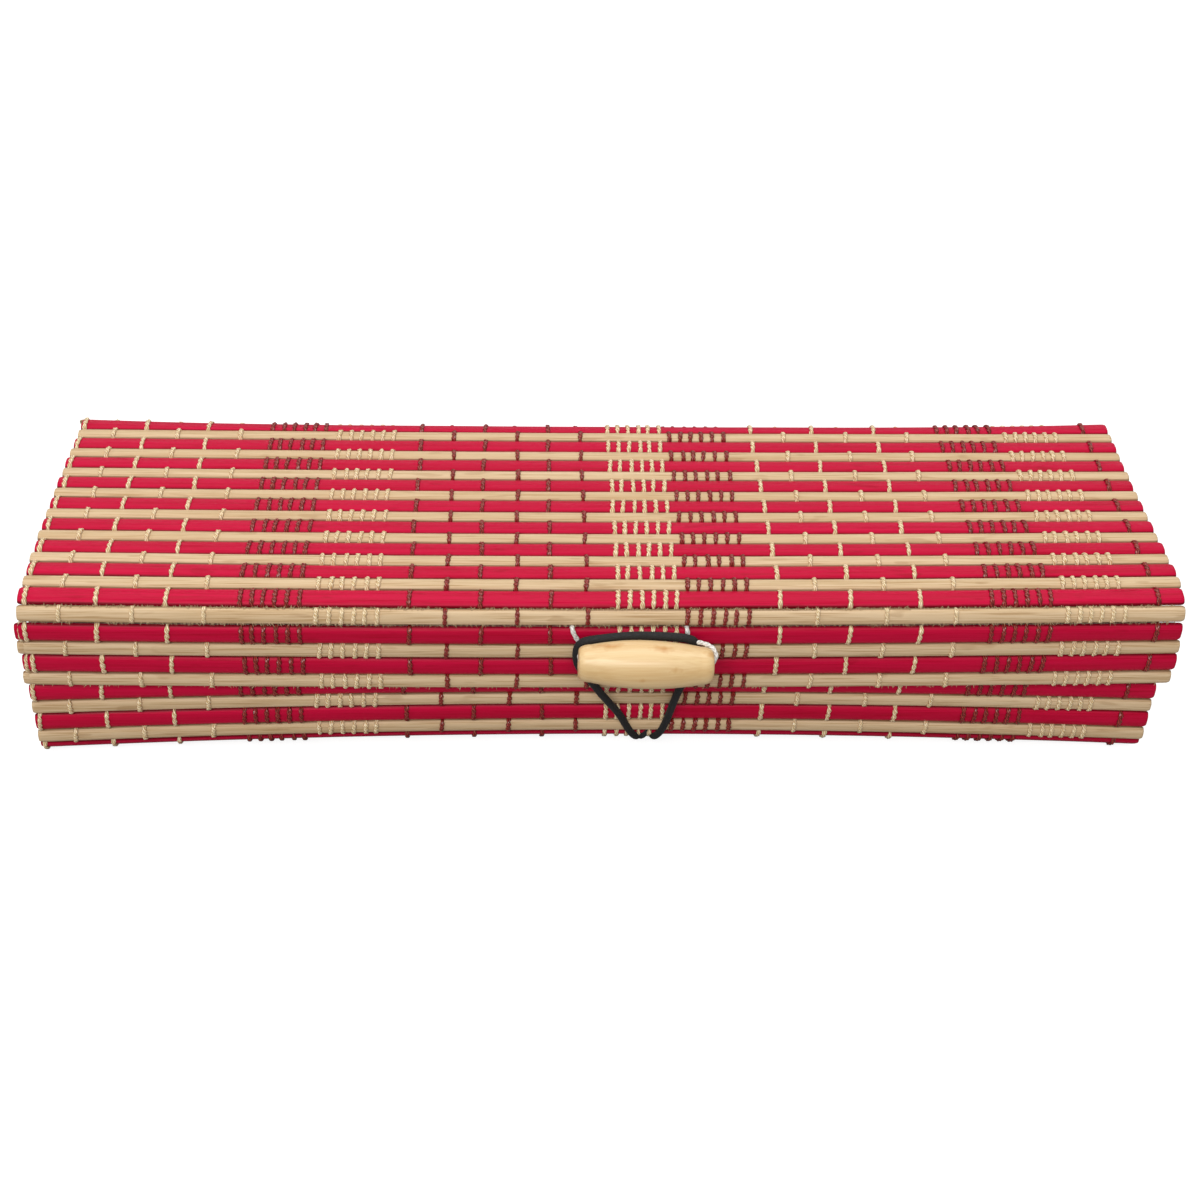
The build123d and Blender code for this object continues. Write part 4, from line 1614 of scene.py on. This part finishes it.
@dataclass
class Lining:
    """A strip of cotton glued inside a run of slats."""

    node: str
    body: str
    depth: float = 0.83 * MM
    thick: float = 0.22 * MM
    thread: float = 0.42 * MM
    columns: int = 120
    glued_at: tuple[float, ...] = (-0.42, 0.0, 0.42)
    narrowest: float = 10 * MM
    ease: float = 0.25 * MM

    def contour(self, slats: list[Slat]) -> Points:
        """The cloth's line along the slats, seen from the side.

        Args:
            slats: The slats that it is glued to.

        Returns:
            Its (y, z) points, in order.
        """
        points = []
        for slat in order_slats(slats):
            middle, across, outward = (np.array(v) for v in (slat.middle, slat.across, slat.outward))
            for edge in self.glued_at:
                points.append(middle + across * edge * slat_sense(slat) * slat.width - outward * self.depth)
        return np.array(points)

    def build(self, slats: list[Slat], finish: bpy.types.Material) -> None:
        """Lay the cloth and put it in the node's place.

        Args:
            slats: The slats that it is glued to.
            finish: The cloth's material.
        """
        low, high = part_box(self.node)
        line = self.contour(slats)
        inside = self.trim(line, low, high)
        run = np.r_[0, np.cumsum(np.linalg.norm(np.diff(inside, axis=0), axis=1))]
        xs = np.linspace(low.x, high.x, self.columns)
        normals = side_normals(inside)
        layers = []
        for level in (-0.5, 0.5):
            edge = inside + normals * level * self.thick
            grid = np.empty((len(inside), self.columns, 3))
            grid[:, :, 0] = xs[None, :]
            grid[:, :, 1:] = edge[:, None, :]
            layers.append(BOW.bend(grid.reshape(-1, 3), slats[0].panel))
        rows, columns = len(inside), self.columns
        size = rows * columns
        faces: Faces = []
        for row in range(rows - 1):
            for column in range(columns - 1):
                a = row * columns + column
                faces.append((a, a + 1, a + columns + 1, a + columns))
                faces.append((size + a, size + a + columns, size + a + columns + 1, size + a + 1))
        rim = list(range(columns))
        rim += [row * columns + columns - 1 for row in range(1, rows)]
        rim += [(rows - 1) * columns + column for column in range(columns - 2, -1, -1)]
        rim += [row * columns for row in range(rows - 2, 0, -1)]
        for here, after in zip(rim, rim[1:] + rim[:1]):
            faces.append((here, size + here, size + after, after))
        chart = np.empty((rows, columns, 2))
        chart[:, :, 0] = (xs / self.thread)[None, :]
        chart[:, :, 1] = (run / self.thread)[:, None]
        shape = Shape()
        shape.add(np.vstack(layers), faces, np.vstack([chart.reshape(-1, 2)] * 2))
        piece = shape.make(f"{self.body}_cotton", finish)
        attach(piece, self.body)
        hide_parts(self.node)
        log.info("%s cloth: %.1f x %.1f mm", self.body, (high.x - low.x) / MM, run[-1] / MM)

    def trim(self, line: Points, low: Vector, high: Vector) -> Points:
        """Keep the points of a line inside the node's box, a little eased.

        Args:
            line: (y, z) points.
            low: The box's lowest corner.
            high: Its highest corner.

        Returns:
            The points kept.
        """
        ease = self.ease
        deep = (line[:, 0] > low.y - ease) & (line[:, 0] < high.y + ease)
        tall = (line[:, 1] > low.z - ease) & (line[:, 1] < high.z + ease)
        return line[deep & tall]


MAT_START = math.radians(150)


def order_slats(slats: list[Slat]) -> list[Slat]:
    """Slats in order along the mat, by their turn round the inside of the box.

    Args:
        slats: The slats of one body.

    Returns:
        The same slats, from the top of the front wall by way of the bottom.
    """

    def turn(slat: Slat) -> float:
        """Angle round the inside, from the mat's start."""
        y, z = slat.middle[0] - INSIDE[0], slat.middle[1] - INSIDE[1]
        return (math.atan2(z, y) - MAT_START) % math.tau

    return sorted(slats, key=turn)


def slat_sense(slat: Slat) -> float:
    """Whether the slat's across direction runs along the order of the slats: 1 or -1."""
    y, z = slat.middle[0] - INSIDE[0], slat.middle[1] - INSIDE[1]
    return 1.0 if -z * slat.across[0] + y * slat.across[1] > 0 else -1.0


def side_normals(line: Points) -> Points:
    """Unit directions square to a flat line.

    Args:
        line: The line's (y, z) points.

    Returns:
        A direction for each point.
    """
    run = np.gradient(line, axis=0)
    run /= np.linalg.norm(run, axis=1)[:, None]
    return np.column_stack([-run[:, 1], run[:, 0]])


def dress_panels() -> None:
    """Give the two end panels their wood."""
    finish = PANEL_WOOD.build()
    for node in ("left_end_panel", "right_end_panel"):
        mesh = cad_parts[node].data
        mesh.materials.clear()
        mesh.materials.append(finish)
        log.info("%s dressed", node)


@dataclass
class Studio:
    """White table, soft light and the camera at the photograph's angle."""

    table_half: float = 3.0
    table_glow: float = 0.84
    table_greys: tuple[float, float] = (0.32, 0.33)
    room_light: float = 0.30
    aimed_at: Place = (0.0, 0.0, 20 * MM)
    camera_place: Place = (-15.87 * MM, -296.13 * MM, 242.92 * MM)
    camera_right: Place = (0.99905, -0.0343, 0.02681)
    camera_up: Place = (-0.00072, 0.60264, 0.79802)
    lens: float = 54.0
    sensor: float = 36.0

    def build(self) -> None:
        """Make the stage."""
        self.lay_table()
        self.light()
        self.aim()
        bpy.context.scene.view_settings.view_transform = "Standard"

    def lay_table(self) -> None:
        """A wide white table top, which the camera sees brighter than it lights the box."""
        material, graph, shader = start_material(
            "white_table", Roughness=0.9, Specular_IOR_Level=0.1, Emission_Color=(1.0, 1.0, 1.0, 1.0)
        )
        place = graph.add("ShaderNodeTexCoord").outputs["Object"]
        tint = graph.spread(graph.noise(place, 40.0), 0.3, 0.7)
        dim, pale = (rgba((grey, grey, grey)) for grey in self.table_greys)
        graph.feed(shader.inputs["Base Color"], graph.blend(tint, dim, pale))
        seen = graph.add("ShaderNodeLightPath").outputs["Is Camera Ray"]
        graph.feed(shader.inputs["Emission Strength"], graph.math("MULTIPLY", seen, self.table_glow))
        half = self.table_half
        mesh = bpy.data.meshes.new("table_top")
        corners = [(-half, -half, 0), (half, -half, 0), (half, half, 0), (-half, half, 0)]
        mesh.from_pydata(corners, [], [(0, 1, 2, 3)])
        mesh.materials.append(material)
        table = bpy.data.objects.new("table_top", mesh)
        bpy.context.scene.collection.objects.link(table)

    def lamp(self, name: str, place: Place, size: tuple[float, float], watts: float) -> None:
        """A soft rectangular lamp that faces the box.

        Args:
            name: The lamp's name.
            place: Where it stands.
            size: Its width and height.
            watts: Its power.
        """
        light = bpy.data.lights.new(name, "AREA")
        light.shape = "RECTANGLE"
        light.size, light.size_y = size
        light.energy = watts
        lamp = bpy.data.objects.new(name, light)
        lamp.location = place
        toward = Vector(self.aimed_at) - Vector(place)
        lamp.rotation_euler = toward.to_track_quat("-Z", "Y").to_euler()
        bpy.context.scene.collection.objects.link(lamp)

    def light(self) -> None:
        """A large lamp above, softer ones from front, back and left, and a dim room."""
        self.lamp("top_lamp", (0.0, 0.30, 1.2), (1.4, 0.8), 9.0)
        self.lamp("front_lamp", (-0.25, -1.0, 0.95), (1.2, 0.5), 12.5)
        self.lamp("back_lamp", (0.0, 1.15, 0.62), (1.8, 0.3), 3.0)
        self.lamp("left_lamp", (-1.1, -0.3, 0.6), (0.6, 0.6), 1.5)
        world = bpy.data.worlds.new("room")
        world.use_nodes = True
        back = world.node_tree.nodes["Background"]
        back.inputs["Color"].default_value = (1.0, 1.0, 1.0, 1.0)
        back.inputs["Strength"].default_value = self.room_light
        bpy.context.scene.world = world

    def aim(self) -> None:
        """Put the camera where the photograph was taken from."""
        right, up = Vector(self.camera_right), Vector(self.camera_up)
        right.normalize()
        back = right.cross(up).normalized()
        up = back.cross(right)
        turn = Matrix((right, up, back)).transposed()
        data = bpy.data.cameras.new("camera")
        data.lens = self.lens
        data.sensor_width = self.sensor
        data.sensor_fit = "HORIZONTAL"
        data.clip_start = 0.01
        camera = bpy.data.objects.new("camera", data)
        camera.matrix_world = Matrix.Translation(self.camera_place) @ turn.to_4x4()
        bpy.context.scene.collection.objects.link(camera)
        bpy.context.scene.camera = camera


def main() -> None:
    """Build the box's looks, sub-assembly by sub-assembly."""
    logging.basicConfig(level=logging.INFO, format="%(message)s")
    mat = WovenMat()
    mat.build()
    bead = ToggleBead()
    bead.build()
    Toggle(bead.middle()).build()
    cotton = LINING_COTTON.build()
    for body in MAT_BODIES:
        Lining(f"{body}_lining", body).build(mat.slats[body], cotton)
    dress_panels()
    Studio().build()


if __name__ == "__main__":
    main()
